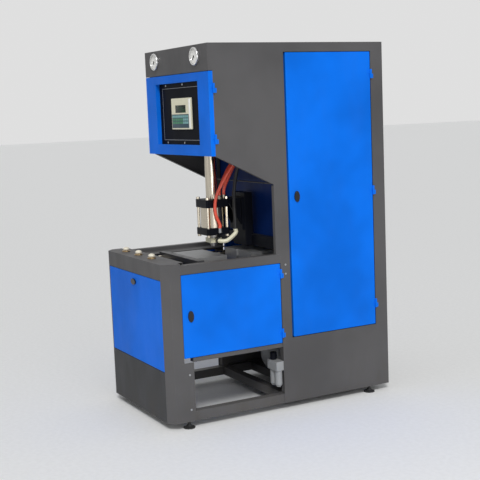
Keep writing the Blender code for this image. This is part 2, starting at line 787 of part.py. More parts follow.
def build_skirt_and_panel():
    """The fixed lower skirt and the front panel, which tips forward on two pins."""
    edge = PANEL_HALF - SEAT
    skirt = pan(
        "front_skirt",
        (-edge, FRONT, FLOOR_CLEARANCE),
        (edge, FRONT + DOOR_DEPTH, SKIRT_TOP),
        (0, 1, 0),
        DOOR_WALL,
    )
    keep(skirt, GREY)

    edge = PANEL_HALF - REVEAL
    bottom = SKIRT_TOP + REVEAL
    panel = pan(
        "front_panel",
        (-edge, FRONT, bottom),
        (edge, FRONT + DOOR_DEPTH, PANEL_TOP),
        (0, 1, 0),
        DOOR_WALL,
    )
    pivot_y, pivot_z = FRONT + PIVOT_INSET, bottom + PIVOT_INSET
    pins = bmesh.new()
    for side in (-1, 1):
        inner = (side * (edge - 2 * DOOR_WALL), pivot_y, pivot_z)
        outer = (side * (PANEL_HALF + SHEET), pivot_y, pivot_z)
        put_rod(pins, inner, outer, PIVOT_RADIUS, segments=12)
    join(panel, as_object("front_panel_pins", pins))
    lock = (0, FRONT, PANEL_TOP - LOCK_INSET)
    cut(panel, spindle_hole("front_panel_hole", lock, (0, -1, 0)))
    keep(hang(panel, (0, pivot_y, pivot_z)), BLUE)
    add_lock("front_lock", lock, (0, -1, 0), (-1, 0, 0))


def build_front_rail():
    """The front rail: a top plate over the corner posts with a band folded down in front."""
    inner = SIDE - TUBE - SEAT
    corner = PANEL_HALF + POST_LIP
    right = [
        (corner, FRONT),
        (SIDE, FRONT + POST_CHAMFER),
        (SIDE, FRONT + POST_BACK),
        (inner, FRONT + POST_BACK),
        (inner, FRONT + FRONT_RAIL_DEPTH),
    ]
    left = [(-x, y) for x, y in reversed(right)]
    holes = [circle(x, FRONT + BUTTON_BACK, RAIL_HOLE_RADIUS, 12) for x in BUTTON_XS]
    rail = plate("front_rail", [right + left, *holes], XY_PLANE, TABLE_TOP - SHEET, TABLE_TOP)
    overlap = TABLE_TOP - SHEET / 2
    edge = PANEL_HALF - SEAT
    band = ((-edge, FRONT, TABLE_TOP - FRONT_BAND), (edge, FRONT + SHEET, overlap))
    back_y = FRONT + FRONT_RAIL_DEPTH
    back = ((-inner, back_y - SHEET, TABLE_TOP - TUBE), (inner, back_y, overlap))
    join(rail, boxes("front_rail_folds", [band, back]))
    build_buttons(keep(rail, GREY))


def build_buttons(rail):
    """Three mushroom buttons, each in a collar on the front rail."""
    ring_top = TABLE_TOP + COLLAR_RING_HEIGHT
    bore = BUTTON_STEM_RADIUS + SEAT
    ring = [
        (bore, ring_top),
        (COLLAR_RING_RADIUS - BUTTON_TRAVEL / 2, ring_top),
        (COLLAR_RING_RADIUS, ring_top - BUTTON_TRAVEL / 2),
        (COLLAR_RING_RADIUS, TABLE_TOP - SHEET / 2),
        (bore, TABLE_TOP - SHEET / 2),
    ]
    under = ring_top + BUTTON_TRAVEL + SEAT
    rim = under + BUTTON_DOME / 3
    dome = [
        (BUTTON_RADIUS * math.sin(turn), rim + BUTTON_DOME * math.cos(turn))
        for turn in (math.pi / 2 * step / 3 for step in range(4))
    ]
    cap = [
        *dome,
        (BUTTON_RADIUS, under),
        (BUTTON_STEM_RADIUS, under),
        (BUTTON_STEM_RADIUS, TABLE_TOP - SHEET - BUTTON_TRAVEL),
        (0, TABLE_TOP - SHEET - BUTTON_TRAVEL),
    ]
    collars = []
    for name, x in zip(BUTTON_NAMES, BUTTON_XS):
        place = (x, FRONT + BUTTON_BACK, 0)
        collars.append(placed(turned("collar", ring, closed=True, steps=12), place))
        button = placed(turned(f"button_{name}", cap, steps=12), place)
        keep(hang(button, (x, FRONT + BUTTON_BACK, TABLE_TOP)), CREAM)
    join(rail, merged("button_collars", collars))


def build_side_plates():
    """The big side plates: the head's cheek, the strip down to the floor and the cabinet's frame."""
    outline = [
        (HEAD_FRONT_Y, HEIGHT),
        (HEAD_FRONT_Y, BAND_BOTTOM),
        (HEAD_BACK_Y + SEAT, BAND_BOTTOM),
        (HEAD_BACK_Y + SEAT, HEAD_LOW_FRONT),
        (STRIP_Y, HEAD_LOW_BACK),
        (STRIP_Y, SIDE_RAIL_TOP + SEAT),
        (STRIP_LOW_Y, SIDE_RAIL_TOP + SEAT),
        (STRIP_LOW_Y, FLOOR_CLEARANCE),
        (BACK, FLOOR_CLEARANCE),
        (BACK, HEIGHT),
    ]
    door_hole = rectangle(STRIP_BACK_Y, CABINET_DOOR_BOTTOM, CABINET_REAR_Y, CABINET_TOP)
    strip_y = (STRIP_LOW_Y + STRIP_BACK_Y) / 2
    upper_bolt = SIDE_RAIL_TOP - STRIP_BOLT_DROP
    bolts = [(strip_y, upper_bolt), (strip_y, upper_bolt - STRIP_BOLT_PITCH)]
    for label, side in (("left", -1), ("right", 1)):
        low, high = sorted((side * (SIDE - SHEET), side * SIDE))
        cheek = plate(f"side_plate_{label}", [outline, door_hole], YZ_PLANE, low, high)
        fold = (
            (SIDE - RETURN, STRIP_Y, SIDE_RAIL_TOP + SEAT),
            (SIDE - SHEET / 2, STRIP_Y + SHEET, HEAD_LOW_BACK - 2 * SHEET),
        )
        join(cheek, boxes(f"side_plate_fold_{label}", one_side(side, [fold])))
        join(cheek, side_bolts(f"strip_bolts_{label}", side, bolts))
        keep(add_fixed_hinges(cheek, side), GREY)


def build_head_shell():
    """The head's cover and open underside, the throat's wall, and the rear panel on its uprights."""
    half = SHEET / 2
    front = HEAD_FRONT_Y
    top = HEIGHT - half
    rear = REAR_FACE_Y
    path = [
        (-INSIDE, front + RETURN, BAND_BOTTOM + half),
        (-INSIDE, front + half, BAND_BOTTOM + half),
        (-INSIDE, front + half, top),
        (-INSIDE, rear - half, top),
        (-INSIDE, rear - half, HEIGHT - COVER_DEPTH),
    ]
    cover = sheet("head_cover", path, (2 * INSIDE, 0, 0), SHEET)
    holes = bmesh.new()
    for side in (-1, 1):
        x = side * GAUGE_SPREAD
        ends = (x, front - SHEET, GAUGE_Z), (x, front + 2 * SHEET, GAUGE_Z)
        put_rod(holes, *ends, GAUGE_BODY_RADIUS + SEAT)
    keep(cut(cover, as_object("gauge_hole_cutter", holes)), GREY)

    lip_y = HEAD_BACK_Y + SEAT + half
    path = [
        (-INSIDE, lip_y, HEAD_LOW_FRONT + RETURN),
        (-INSIDE, lip_y, HEAD_LOW_FRONT + half),
        (-INSIDE, STRIP_Y, HEAD_LOW_BACK + half),
        (-INSIDE, BEAM_FRONT_Y - SEAT, HEAD_LOW_BACK + half),
    ]
    rim = sheet("head_floor", path, (2 * INSIDE, 0, 0), SHEET)
    opening = box(
        "head_mouth_cutter",
        (-INSIDE + RETURN, lip_y + 2 * SHEET, HEAD_LOW_BACK - SHEET),
        (INSIDE - RETURN, STRIP_Y - SHEET, HEAD_LOW_FRONT + RETURN),
    )
    keep(cut(rim, opening), GREY)

    wall = box(
        "throat_wall",
        (-INSIDE, THROAT_WALL_Y, THROAT_WALL_BOTTOM),
        (INSIDE, THROAT_WALL_Y + SHEET, HEIGHT - COVER_DEPTH - SEAT),
    )
    keep(wall, BLUE)
    rear = box(
        "rear_panel", (-INSIDE, BACK - SHEET, FLOOR_CLEARANCE), (INSIDE, BACK, HEIGHT)
    )
    upright = (
        (UPRIGHT_INNER, REAR_FACE_Y - TUBE, FLOOR_CLEARANCE + SILL + SEAT),
        (INSIDE - WELD, BACK - SHEET / 2, HEIGHT - COVER_DEPTH - SEAT),
    )
    keep(join(rear, boxes("rear_uprights", mirrored([upright]))), GREY)


def build_head_door():
    """The framed head door on two hinges, with the black panel and the display unit behind its window."""
    front = HEAD_FRONT_Y
    top = HEAD_DOOR_TOP
    window = rectangle(-WINDOW_HALF, WINDOW_BOTTOM, WINDOW_HALF, WINDOW_TOP)
    outer = rectangle(-SIDE, HEAD_LOW_FRONT, SIDE, top)
    door = plate("head_door", [outer, window], XZ_PLANE, front, HEAD_BACK_Y)
    inner = rectangle(
        -SIDE + DOOR_WALL, HEAD_LOW_FRONT + DOOR_WALL, SIDE - DOOR_WALL, top - DOOR_WALL
    )
    island = rectangle(
        -WINDOW_HALF - DOOR_WALL,
        WINDOW_BOTTOM - DOOR_WALL,
        WINDOW_HALF + DOOR_WALL,
        WINDOW_TOP + DOOR_WALL,
    )
    hollow = plate(
        "head_door_hollow", [inner, island], XZ_PLANE, front + DOOR_WALL, HEAD_BACK_Y + DOOR_WALL
    )
    cut(door, hollow)
    axis_y = HEAD_BACK_Y + REVEAL / 2
    heights = hinge_heights(HEAD_LOW_FRONT, top, HEAD_HINGE_INSET, 2)
    add_door_knuckles(door, 1, axis_y, heights)
    keep(hang(door, (HINGE_X, axis_y, HEAD_LOW_FRONT)), BLUE)
    build_display(HEAD_BACK_Y)


def build_display(face_y):
    """The black panel with its screws, and the display unit with its screen and keypad recesses."""
    edge = WINDOW_HALF + PANEL_MARGIN
    panel = box(
        "display_panel",
        (-edge, face_y + SEAT, WINDOW_BOTTOM - PANEL_MARGIN),
        (edge, face_y + SEAT + PANEL_SHEET, WINDOW_TOP + PANEL_MARGIN),
    )
    screws = bmesh.new()
    left, right = SCREW_LEFT_INSET - WINDOW_HALF, WINDOW_HALF - SCREW_RIGHT_INSET
    for x in (left, (left + right) / 2, right):
        for z in (WINDOW_BOTTOM + SCREW_EDGE_INSET, WINDOW_TOP - SCREW_EDGE_INSET):
            ends = (x, face_y + SEAT - BOLT_HEAD / 2, z), (x, face_y + PANEL_SHEET / 2, z)
            put_rod(screws, *ends, BOLT_RADIUS, segments=6)
    keep(join(panel, as_object("display_panel_screws", screws)), BLACK)

    unit_front = face_y - UNIT_PROUD
    middle = (WINDOW_BOTTOM + WINDOW_TOP) / 2
    low, high = middle - UNIT_HEIGHT / 2, middle + UNIT_HEIGHT / 2
    reach = UNIT_WIDTH / 2
    unit = box(
        "display_unit",
        (UNIT_SHIFT - reach, unit_front, low),
        (UNIT_SHIFT + reach, face_y, high),
    )
    rounding = unit.modifiers.new("Edges", "BEVEL")
    rounding.width = SHEET
    rounding.segments = 2
    left = UNIT_SHIFT + SCREEN_SHIFT - SCREEN_WIDTH / 2
    right = left + SCREEN_WIDTH
    deep = unit_front + SCREEN_RECESS
    proud = unit_front - SCREEN_RECESS
    screen_top = high - SCREEN_DROP
    keys_low = low + KEYPAD_RISE
    recesses = [
        ((left, proud, screen_top - SCREEN_HEIGHT), (right, deep, screen_top)),
        ((left, proud, keys_low), (right, deep, keys_low + KEYPAD_HEIGHT)),
    ]
    keep(cut(unit, boxes("display_recess_cutter", recesses)), CREAM)


def build_gauges():
    """Two round pressure gauges through the band, each with its needle on a pivot."""
    face_y = HEAD_FRONT_Y
    dial = GAUGE_PROUD - GAUGE_DIAL_RECESS
    edge = GAUGE_RADIUS - GAUGE_DIAL_RADIUS
    profile = [
        (0, dial + GAUGE_PIVOT),
        (GAUGE_PIVOT, dial + GAUGE_PIVOT),
        (GAUGE_PIVOT, dial),
        (GAUGE_DIAL_RADIUS, dial),
        (GAUGE_DIAL_RADIUS, GAUGE_PROUD),
        (GAUGE_RADIUS - edge / 2, GAUGE_PROUD),
        (GAUGE_RADIUS, GAUGE_PROUD - edge / 2),
        (GAUGE_RADIUS, SEAT),
        (GAUGE_BODY_RADIUS, SEAT),
        (GAUGE_BODY_RADIUS, -GAUGE_BODY_DEPTH),
        (FITTING_RADIUS, -GAUGE_BODY_DEPTH),
        (FITTING_RADIUS, -GAUGE_BODY_DEPTH - FITTING_LENGTH),
        (0, -GAUGE_BODY_DEPTH - FITTING_LENGTH),
    ]
    needle_back = face_y - dial - GAUGE_PIVOT - SEAT
    for name, side in (("left", -1), ("right", 1)):
        centre = Vector((side * GAUGE_SPREAD, face_y, GAUGE_Z))
        keep(placed(turned(f"gauge_{name}", profile), centre, (0, -1, 0)), CHROME)
        outline = needle_outline(centre.x, centre.z)
        needle = plate(
            f"gauge_needle_{name}", [outline], XZ_PLANE, needle_back - NEEDLE_THICKNESS, needle_back
        )
        keep(hang(needle, centre), BLACK)


def needle_outline(x, z):
    """A pointed hand with a round hub, at its zero mark."""
    reach = math.radians(140)
    hub = [NEEDLE_ZERO + math.radians(40) + 2 * reach * step / 10 for step in range(11)]
    points = [(x + NEEDLE_HUB * math.cos(turn), z + NEEDLE_HUB * math.sin(turn)) for turn in hub]
    tip = (x + NEEDLE_LENGTH * math.cos(NEEDLE_ZERO), z + NEEDLE_LENGTH * math.sin(NEEDLE_ZERO))
    return [*points, tip]


def square_flange(name, low, high, bore):
    """A square end flange with cut corners, four tie rod holes and a centre bore."""
    half = HALF_FLANGE
    inner = half - FLANGE_CORNER
    quarter = [(half, inner), (inner, half)]
    outline = [(x, BLOW_Y + y) for x, y in quarter]
    outline += [(-x, BLOW_Y + y) for x, y in reversed(quarter)]
    outline += [(-x, BLOW_Y - y) for x, y in quarter]
    outline += [(x, BLOW_Y - y) for x, y in reversed(quarter)]
    holes = [circle(0, BLOW_Y, bore)]
    for x in (-TIE_ROD_SPREAD, TIE_ROD_SPREAD):
        for y in (-TIE_ROD_SPREAD, TIE_ROD_SPREAD):
            holes.append(circle(x, BLOW_Y + y, TIE_ROD_RADIUS + 2 * SEAT, 8))
    return plate(name, [outline, *holes], XY_PLANE, low, high)


def build_blow_cylinders():
    """The seal cylinder between its two flanges and the stretch cylinder above it."""
    low = square_flange(
        "seal_flange_low", LOW_FLANGE_BOTTOM, LOW_FLANGE_TOP, NOZZLE_ROD_RADIUS + RUNNING_GAP
    )
    keep(low, BLACK)
    top = square_flange(
        "seal_flange_top", TOP_FLANGE_BOTTOM, TOP_FLANGE_TOP, STRETCH_ROD_RADIUS + RUNNING_GAP
    )
    keep(top, BLACK)

    bore = SEAL_BARREL_RADIUS - SEAL_BARREL_WALL
    ring = [
        (SEAL_BARREL_RADIUS, SEAL_BARREL_TOP),
        (SEAL_BARREL_RADIUS, SEAL_BARREL_BOTTOM),
        (bore, SEAL_BARREL_BOTTOM),
        (bore, SEAL_BARREL_TOP),
    ]
    barrel = placed(turned("seal_cylinder", ring, closed=True, steps=28), (0, BLOW_Y, 0))
    keep(barrel, CHROME)

    bottom = LOW_FLANGE_BOTTOM - SEAT
    nut_top = TOP_FLANGE_TOP + TIE_NUT_HEIGHT
    bolt = [
        (0, nut_top),
        (TIE_NUT_RADIUS, nut_top),
        (TIE_NUT_RADIUS, TOP_FLANGE_TOP - WELD),
        (TIE_ROD_RADIUS, TOP_FLANGE_TOP - WELD),
        (TIE_ROD_RADIUS, bottom),
        (TIE_NUT_RADIUS, bottom),
        (TIE_NUT_RADIUS, bottom - TIE_NUT_HEIGHT),
        (0, bottom - TIE_NUT_HEIGHT),
    ]
    rods = [
        placed(turned("tie_rod", bolt, steps=8), (x, BLOW_Y + y, 0))
        for x in (-TIE_ROD_SPREAD, TIE_ROD_SPREAD)
        for y in (-TIE_ROD_SPREAD, TIE_ROD_SPREAD)
    ]
    join(top, merged("seal_tie_rods", rods))

    inner = STRETCH_BARREL_RADIUS - STRETCH_BARREL_WALL
    cap_radius = STRETCH_BARREL_RADIUS + STRETCH_BARREL_WALL
    cap_bottom = STRETCH_BARREL_TOP - STRETCH_HEADROOM
    ceiling = STRETCH_BARREL_TOP - STRETCH_HEADROOM / 2
    profile = [
        (0, STRETCH_BARREL_TOP),
        (cap_radius, STRETCH_BARREL_TOP),
        (cap_radius, cap_bottom),
        (STRETCH_BARREL_RADIUS, cap_bottom),
        (STRETCH_BARREL_RADIUS, STRETCH_BARREL_BOTTOM),
        (inner, STRETCH_BARREL_BOTTOM),
        (inner, ceiling),
        (0, ceiling),
    ]
    keep(placed(turned("stretch_cylinder", profile), (0, BLOW_Y, 0)), CHROME)
    build_hoses(low, top)


def build_stretch_rod():
    """The stretch rod with its piston, drawn up so that its round tip is just inside the nozzle."""
    piston = STRETCH_BARREL_RADIUS - STRETCH_BARREL_WALL - RUNNING_GAP
    piston_top = STRETCH_BARREL_TOP - STRETCH_HEADROOM
    piston_bottom = piston_top - STRETCH_PISTON_HEIGHT
    tip = NOZZLE_TIP + STRETCH_ROD_RADIUS
    centre = tip + STRETCH_ROD_RADIUS
    round_tip = [
        (STRETCH_ROD_RADIUS * math.cos(turn), centre - STRETCH_ROD_RADIUS * math.sin(turn))
        for turn in (math.pi / 2 * step / 3 for step in range(3))
    ]
    profile = [
        (0, piston_top),
        (piston, piston_top),
        (piston, piston_bottom),
        (STRETCH_ROD_RADIUS, piston_bottom),
        *round_tip,
        (0, tip),
    ]
    rod_piece = placed(turned("stretch_rod", profile), (0, BLOW_Y, 0))
    keep(hang(rod_piece, (0, BLOW_Y, tip)), CHROME)


def build_nozzle():
    """The seal piston with its hollow rod and nozzle, and the air block that rides on the nozzle."""
    bore = STRETCH_ROD_RADIUS + RUNNING_GAP * 2
    piston = SEAL_BARREL_RADIUS - SEAL_BARREL_WALL - RUNNING_GAP
    profile = [
        (bore, NOZZLE_PISTON_TOP),
        (piston, NOZZLE_PISTON_TOP),
        (piston, NOZZLE_PISTON_TOP - NOZZLE_PISTON_HEIGHT),
        (NOZZLE_ROD_RADIUS, NOZZLE_PISTON_TOP - NOZZLE_PISTON_HEIGHT),
        (NOZZLE_ROD_RADIUS, NOZZLE_SHOULDER),
        (NOZZLE_BODY_RADIUS, NOZZLE_SHOULDER),
        (NOZZLE_BODY_RADIUS, COLLAR_BOTTOM - SHEET),
        (NOZZLE_TIP_RADIUS, NOZZLE_TIP),
        (bore, NOZZLE_TIP),
    ]
    nozzle = placed(turned("nozzle", profile, closed=True), (0, BLOW_Y, 0))
    keep(hang(nozzle, (0, BLOW_Y, NOZZLE_TIP)), STEEL)

    half = COLLAR_HALF
    centre = COLLAR_BOTTOM + COLLAR_HEIGHT / 2
    outline = rectangle(-half, BLOW_Y - half, half, BLOW_Y + half)
    hole = circle(0, BLOW_Y, NOZZLE_BODY_RADIUS + SEAT)
    block = plate(
        "nozzle_fittings", [outline, hole], XY_PLANE, COLLAR_BOTTOM, COLLAR_BOTTOM + COLLAR_HEIGHT
    )
    inside = NOZZLE_BODY_RADIUS + ELBOW_RADIUS / 2
    hose_y = BLOW_Y + BLOW_HOSE_BACK
    elbow = hose(
        "elbow_helper",
        [
            (inside, BLOW_Y, centre),
            (inside + ELBOW_RADIUS, BLOW_Y, centre),
            (BLOW_HOSE_X - 2 * ELBOW_RADIUS, BLOW_Y, centre),
            (BLOW_HOSE_X, BLOW_Y + 3 * ELBOW_RADIUS, centre),
            (BLOW_HOSE_X, hose_y, ELBOW_TOP - 2 * ELBOW_RADIUS),
            (BLOW_HOSE_X, hose_y, ELBOW_TOP),
        ],
        ELBOW_RADIUS,
    )
    join(block, elbow)
    tee = COLLAR_HALF + 2 * ELBOW_RADIUS
    branch = (tee, BLOW_Y, COLLAR_BOTTOM), (tee, BLOW_Y, NOZZLE_SHOULDER)
    join(block, rod("tee_helper", *branch, ELBOW_RADIUS * 0.9, segments=12))
    port = (-inside, BLOW_Y, centre), (-half - 2 * FITTING_LENGTH, BLOW_Y, centre)
    join(block, rod("port_helper", *port, FITTING_RADIUS, segments=10))
    keep(hang(block, (0, BLOW_Y, NOZZLE_TIP)), CREAM)


def build_hoses(low_flange, top_flange):
    """The high-pressure hose to the elbow, and three red hoses to the seal cylinder's two ends."""
    hose_y = BLOW_Y + BLOW_HOSE_BACK
    port_y = BEAM_FRONT_Y - SEAT - MANIFOLD_DEPTH / 2
    top = HEAD_BEAM_BOTTOM - SEAT
    port_x = BLOW_HOSE_X + BLOW_HOSE_SHIFT
    high = hose(
        "blow_hose",
        [
            (port_x, port_y, top),
            (port_x, port_y, top - HOSE_DROP / 2),
            (port_x - BLOW_HOSE_SHIFT / 2, hose_y + BLOW_HOSE_RADIUS, top - 1.5 * HOSE_DROP),
            (BLOW_HOSE_X, hose_y, ELBOW_TOP + 2 * HOSE_DROP),
            (BLOW_HOSE_X, hose_y, ELBOW_TOP + HOSE_DROP / 2),
            (BLOW_HOSE_X, hose_y, ELBOW_TOP + SEAT),
        ],
        BLOW_HOSE_RADIUS,
    )
    keep(high, RUBBER)

    start = Vector((MANIFOLD_X - HOSE_PITCH, port_y, top))
    drop = Vector((0, 0, -HOSE_DROP / 2))
    flange_top = TOP_FLANGE_TOP + FITTING_LENGTH
    bend = HEAD_LOW_BACK + HOSE_DROP
    lead = Vector((0, 0, HOSE_DROP / 5))
    rim = HALF_FLANGE - TOP_FITTING_INSET
    for name, port, hang, place in (
        ("red_hose_left", 0, (0.070, 0.087), (rim, TOP_FITTING_SHIFT)),
        ("red_hose_right", HOSE_PITCH, (0.095, 0.102), (2 * TOP_FITTING_SHIFT, rim)),
    ):
        end = Vector((place[0], BLOW_Y + place[1], flange_top))
        base = end - Vector((0, 0, FITTING_LENGTH + 2 * WELD))
        tip = end - Vector((0, 0, SEAT))
        join(top_flange, rod(f"{name}_fitting", base, tip, FITTING_RADIUS, segments=10))
        first = start + Vector((port, 0, 0))
        route = [
            first,
            first + drop,
            (hang[0], BLOW_Y + hang[1], bend),
            end + Vector((0.005, 0.012, HOSE_DROP * 0.6)),
            end + lead,
            end,
        ]
        keep(hose(name, route, RED_HOSE_RADIUS), RED)

    level = LOW_FLANGE_BOTTOM + LOW_FLANGE_THICKNESS / 2
    elbow = FITTING_RADIUS * 0.7
    stub = (HALF_FLANGE - WELD, BLOW_Y, level), (LOW_HOSE_X + elbow, BLOW_Y, level)
    join(low_flange, rod("low_hose_stub", *stub, FITTING_RADIUS * 0.8, segments=12))
    end = Vector((LOW_HOSE_X, BLOW_Y, LOW_FLANGE_TOP + SEAT))
    riser = (LOW_HOSE_X, BLOW_Y, level - elbow), end - Vector((0, 0, SEAT))
    join(low_flange, rod("low_hose_riser", *riser, FITTING_RADIUS, segments=10))
    first = start + Vector((2 * HOSE_PITCH, 0, 0))
    route = [
        first,
        first + drop,
        (LOW_HOSE_X + 0.030, BLOW_Y + 0.082, bend),
        (LOW_HOSE_X + 0.008, BLOW_Y + 0.017, flange_top + HOSE_DROP * 0.6),
        (LOW_HOSE_X + 0.002, BLOW_Y - 0.020, TOP_FLANGE_TOP + SHEET),
        (LOW_HOSE_X, BLOW_Y - 0.024, SEAL_BARREL_TOP - HOSE_DROP * 0.3),
        end + lead,
        end,
    ]
    keep(hose("red_hose_front", route, RED_HOSE_RADIUS), RED)


def build_column():
    """The throat's two cross beams, the black column on the lower one and its ribbed bracket."""
    reach = UPRIGHT_INNER - SEAT
    beam_low, beam_high = (
        box(name, (-reach, BEAM_FRONT_Y, z), (reach, BEAM_FRONT_Y + TUBE, z + BEAM_HEIGHT))
        for name, z in (("blow_column", THROAT_WALL_BOTTOM), ("head_beam", HEAD_BEAM_BOTTOM))
    )
    keep(beam_high, GREY)
    rise = box(
        "column_rise",
        (-COLUMN_HALF, COLUMN_Y, THROAT_WALL_BOTTOM - WELD),
        (COLUMN_HALF, COLUMN_Y + COLUMN_DEPTH, TOP_FLANGE_TOP + COLUMN_RISE),
    )
    edges = rise.modifiers.new("Edges", "BEVEL")
    edges.width = DOOR_FOLD_RADIUS
    edges.segments = 2
    keep(join(beam_low, rise), BLACK)

    back = COLUMN_Y - SEAT
    face = back - BRACKET_PLATE
    arm_front = BLOW_Y + HALF_FLANGE + SEAT
    arm_top = TOP_FLANGE_TOP - SHEET
    arm_bottom = arm_top - BRACKET_ARM
    foot = arm_top - BRACKET_HEIGHT
    bracket = box(
        "blow_bracket", (-COLUMN_HALF, face, foot), (COLUMN_HALF, back, TOP_FLANGE_TOP)
    )
    arm = box(
        "bracket_arm",
        (-BRACKET_HALF, arm_front, arm_bottom),
        (BRACKET_HALF, face + SHEET, arm_top),
    )
    join(bracket, arm)
    rib_side = [
        (face + SHEET, foot + BRACKET_ARM),
        (face + SHEET, arm_bottom + SHEET),
        (arm_front + SHEET, arm_bottom + SHEET),
        (arm_front + SHEET, arm_bottom - SHEET),
    ]
    for name, side in (("left", -1), ("right", 1)):
        outer = side * (BRACKET_HALF - WELD)
        low, high = sorted((outer, outer - side * BRACKET_RIB))
        join(bracket, plate(f"bracket_rib_{name}", [rib_side], YZ_PLANE, low, high))
    keep(bracket, BLACK)


def tie_bar_places():
    """The four tie bar axes as (x, z)."""
    low, high = PLATEN_BOTTOM + TIE_BAR_INSET, PLATEN_TOP - TIE_BAR_INSET
    return [(x, z) for x in (-TIE_BAR_SPREAD, TIE_BAR_SPREAD) for z in (low, high)]


def platen(name, front_y, clearance, centre_hole=0.0):
    """A steel platen across the clamp unit, drilled for the tie bars."""
    outlines = [rectangle(-PLATEN_HALF, PLATEN_BOTTOM, PLATEN_HALF, PLATEN_TOP)]
    outlines += [circle(x, z, TIE_BAR_RADIUS + clearance, 12) for x, z in tie_bar_places()]
    if centre_hole:
        outlines.append(circle(0, CLAMP_AXIS, centre_hole))
    return plate(name, outlines, XZ_PLANE, front_y, front_y + PLATEN_THICKNESS)


def mould_half(name, face_y, toward):
    """One mould half with half of the bottle cavity in its face; toward is the way that face looks."""
    far = face_y - toward * MOULD_THICKNESS
    low, high = sorted((face_y, far))
    block = box(name, (-MOULD_HALF, low, MOULD_BOTTOM), (MOULD_HALF, high, PLATEN_TOP))
    neck, low_shoulder = PLATEN_TOP - BOTTLE_NECK_DROP, PLATEN_TOP - BOTTLE_SHOULDER_DROP
    floor = MOULD_BOTTOM + BOTTLE_BASE
    shoulder = [
        (
            BOTTLE_NECK_RADIUS + (BOTTLE_RADIUS - BOTTLE_NECK_RADIUS) * (1 - math.cos(turn)) / 2,
            neck - (neck - low_shoulder) * turn / math.pi,
        )
        for turn in (math.pi * step / 6 for step in range(7))
    ]
    profile = [
        (0, PLATEN_TOP + SHEET),
        (BOTTLE_NECK_RADIUS, PLATEN_TOP + SHEET),
        *shoulder,
        (BOTTLE_RADIUS, floor + BOTTLE_HEEL),
        (BOTTLE_RADIUS - BOTTLE_HEEL, floor),
        (0, floor),
    ]
    cavity = placed(turned(f"{name}_cavity", profile, steps=16), (0, face_y + toward * SEAT / 2, 0))
    return cut(block, cavity)


def build_clamp():
    """The clamp unit: bed, platens, tie bars, mould halves and the cylinder that closes them."""
    keep(platen("front_platen", FRONT + PLATEN_FRONT, SEAT), STEEL)
    rear = platen("rear_platen", REAR_PLATEN_Y, SEAT, CLAMP_ROD_RADIUS + RUNNING_GAP)
    moving = platen("moving_platen", MOVING_PLATEN_Y, RUNNING_GAP)
    keep(hang(moving, (0, MOVING_PLATEN_Y, CLAMP_AXIS)), STEEL)

    front_y = FRONT + PLATEN_FRONT
    rear_y = REAR_PLATEN_Y + PLATEN_THICKNESS
    nut = TIE_BAR_RADIUS * 1.5
    profile = [
        (0, rear_y + TIE_BAR_OVERHANG),
        (nut, rear_y + TIE_BAR_OVERHANG),
        (nut, rear_y - WELD),
        (TIE_BAR_RADIUS, rear_y - WELD),
        (TIE_BAR_RADIUS, front_y - SEAT),
        (nut, front_y - SEAT),
        (nut, front_y - TIE_BAR_OVERHANG),
        (0, front_y - TIE_BAR_OVERHANG),
    ]
    bars = [
        placed(turned("tie_bar", profile, steps=12), (x, 0, z), (0, 1, 0))
        for x, z in tie_bar_places()
    ]
    keep(join(rear, merged("tie_bars", bars)), STEEL)

    keep(mould_half("mould_front", BLOW_Y - SEAT / 2, 1), ALUMINIUM)
    moving_half = mould_half("mould_rear", MOVING_FACE_Y, -1)
    keep(hang(moving_half, (0, MOVING_FACE_Y, CLAMP_AXIS)), ALUMINIUM)
    build_clamp_cylinder()


def build_clamp_cylinder():
    """The clamp cylinder behind the rear platen and its piston rod, drawn back."""
    length, cap = CLAMP_LENGTH, CLAMP_CAP
    rod_hole = CLAMP_ROD_RADIUS + RUNNING_GAP
    barrel = CLAMP_BORE + CLAMP_WALL
    lip = barrel + CLAMP_CAP_LIP
    profile = [
        (0, length),
        (lip, length),
        (lip, length - cap),
        (barrel, length - cap),
        (barrel, cap),
        (lip, cap),
        (lip, 0),
        (rod_hole, 0),
        (rod_hole, cap),
        (CLAMP_BORE, cap),
        (CLAMP_BORE, length - cap),
        (0, length - cap),
    ]
    place = (0, CLAMP_CYLINDER_Y, CLAMP_AXIS)
    keep(placed(turned("clamp_cylinder", profile, steps=16), place, (0, 1, 0)), ALUMINIUM)

    start = MOVING_PLATEN_Y + PLATEN_THICKNESS + SEAT
    end = CLAMP_CYLINDER_Y + length - cap - CLAMP_PISTON_LENGTH / 3
    piston = CLAMP_BORE - RUNNING_GAP
    profile = [
        (0, end),
        (piston, end),
        (piston, end - CLAMP_PISTON_LENGTH),
        (CLAMP_ROD_RADIUS, end - CLAMP_PISTON_LENGTH),
        (CLAMP_ROD_RADIUS, start + CLAMP_PISTON_LENGTH / 2),
        (CLAMP_ROD_RADIUS * 2, start + CLAMP_PISTON_LENGTH / 2),
        (CLAMP_ROD_RADIUS * 2, start),
        (0, start),
    ]
    turned_rod = turned("clamp_piston_rod", profile, steps=16)
    piston_rod = placed(turned_rod, (0, 0, CLAMP_AXIS), (0, 1, 0))
    keep(hang(piston_rod, (0, start, CLAMP_AXIS)), CHROME)


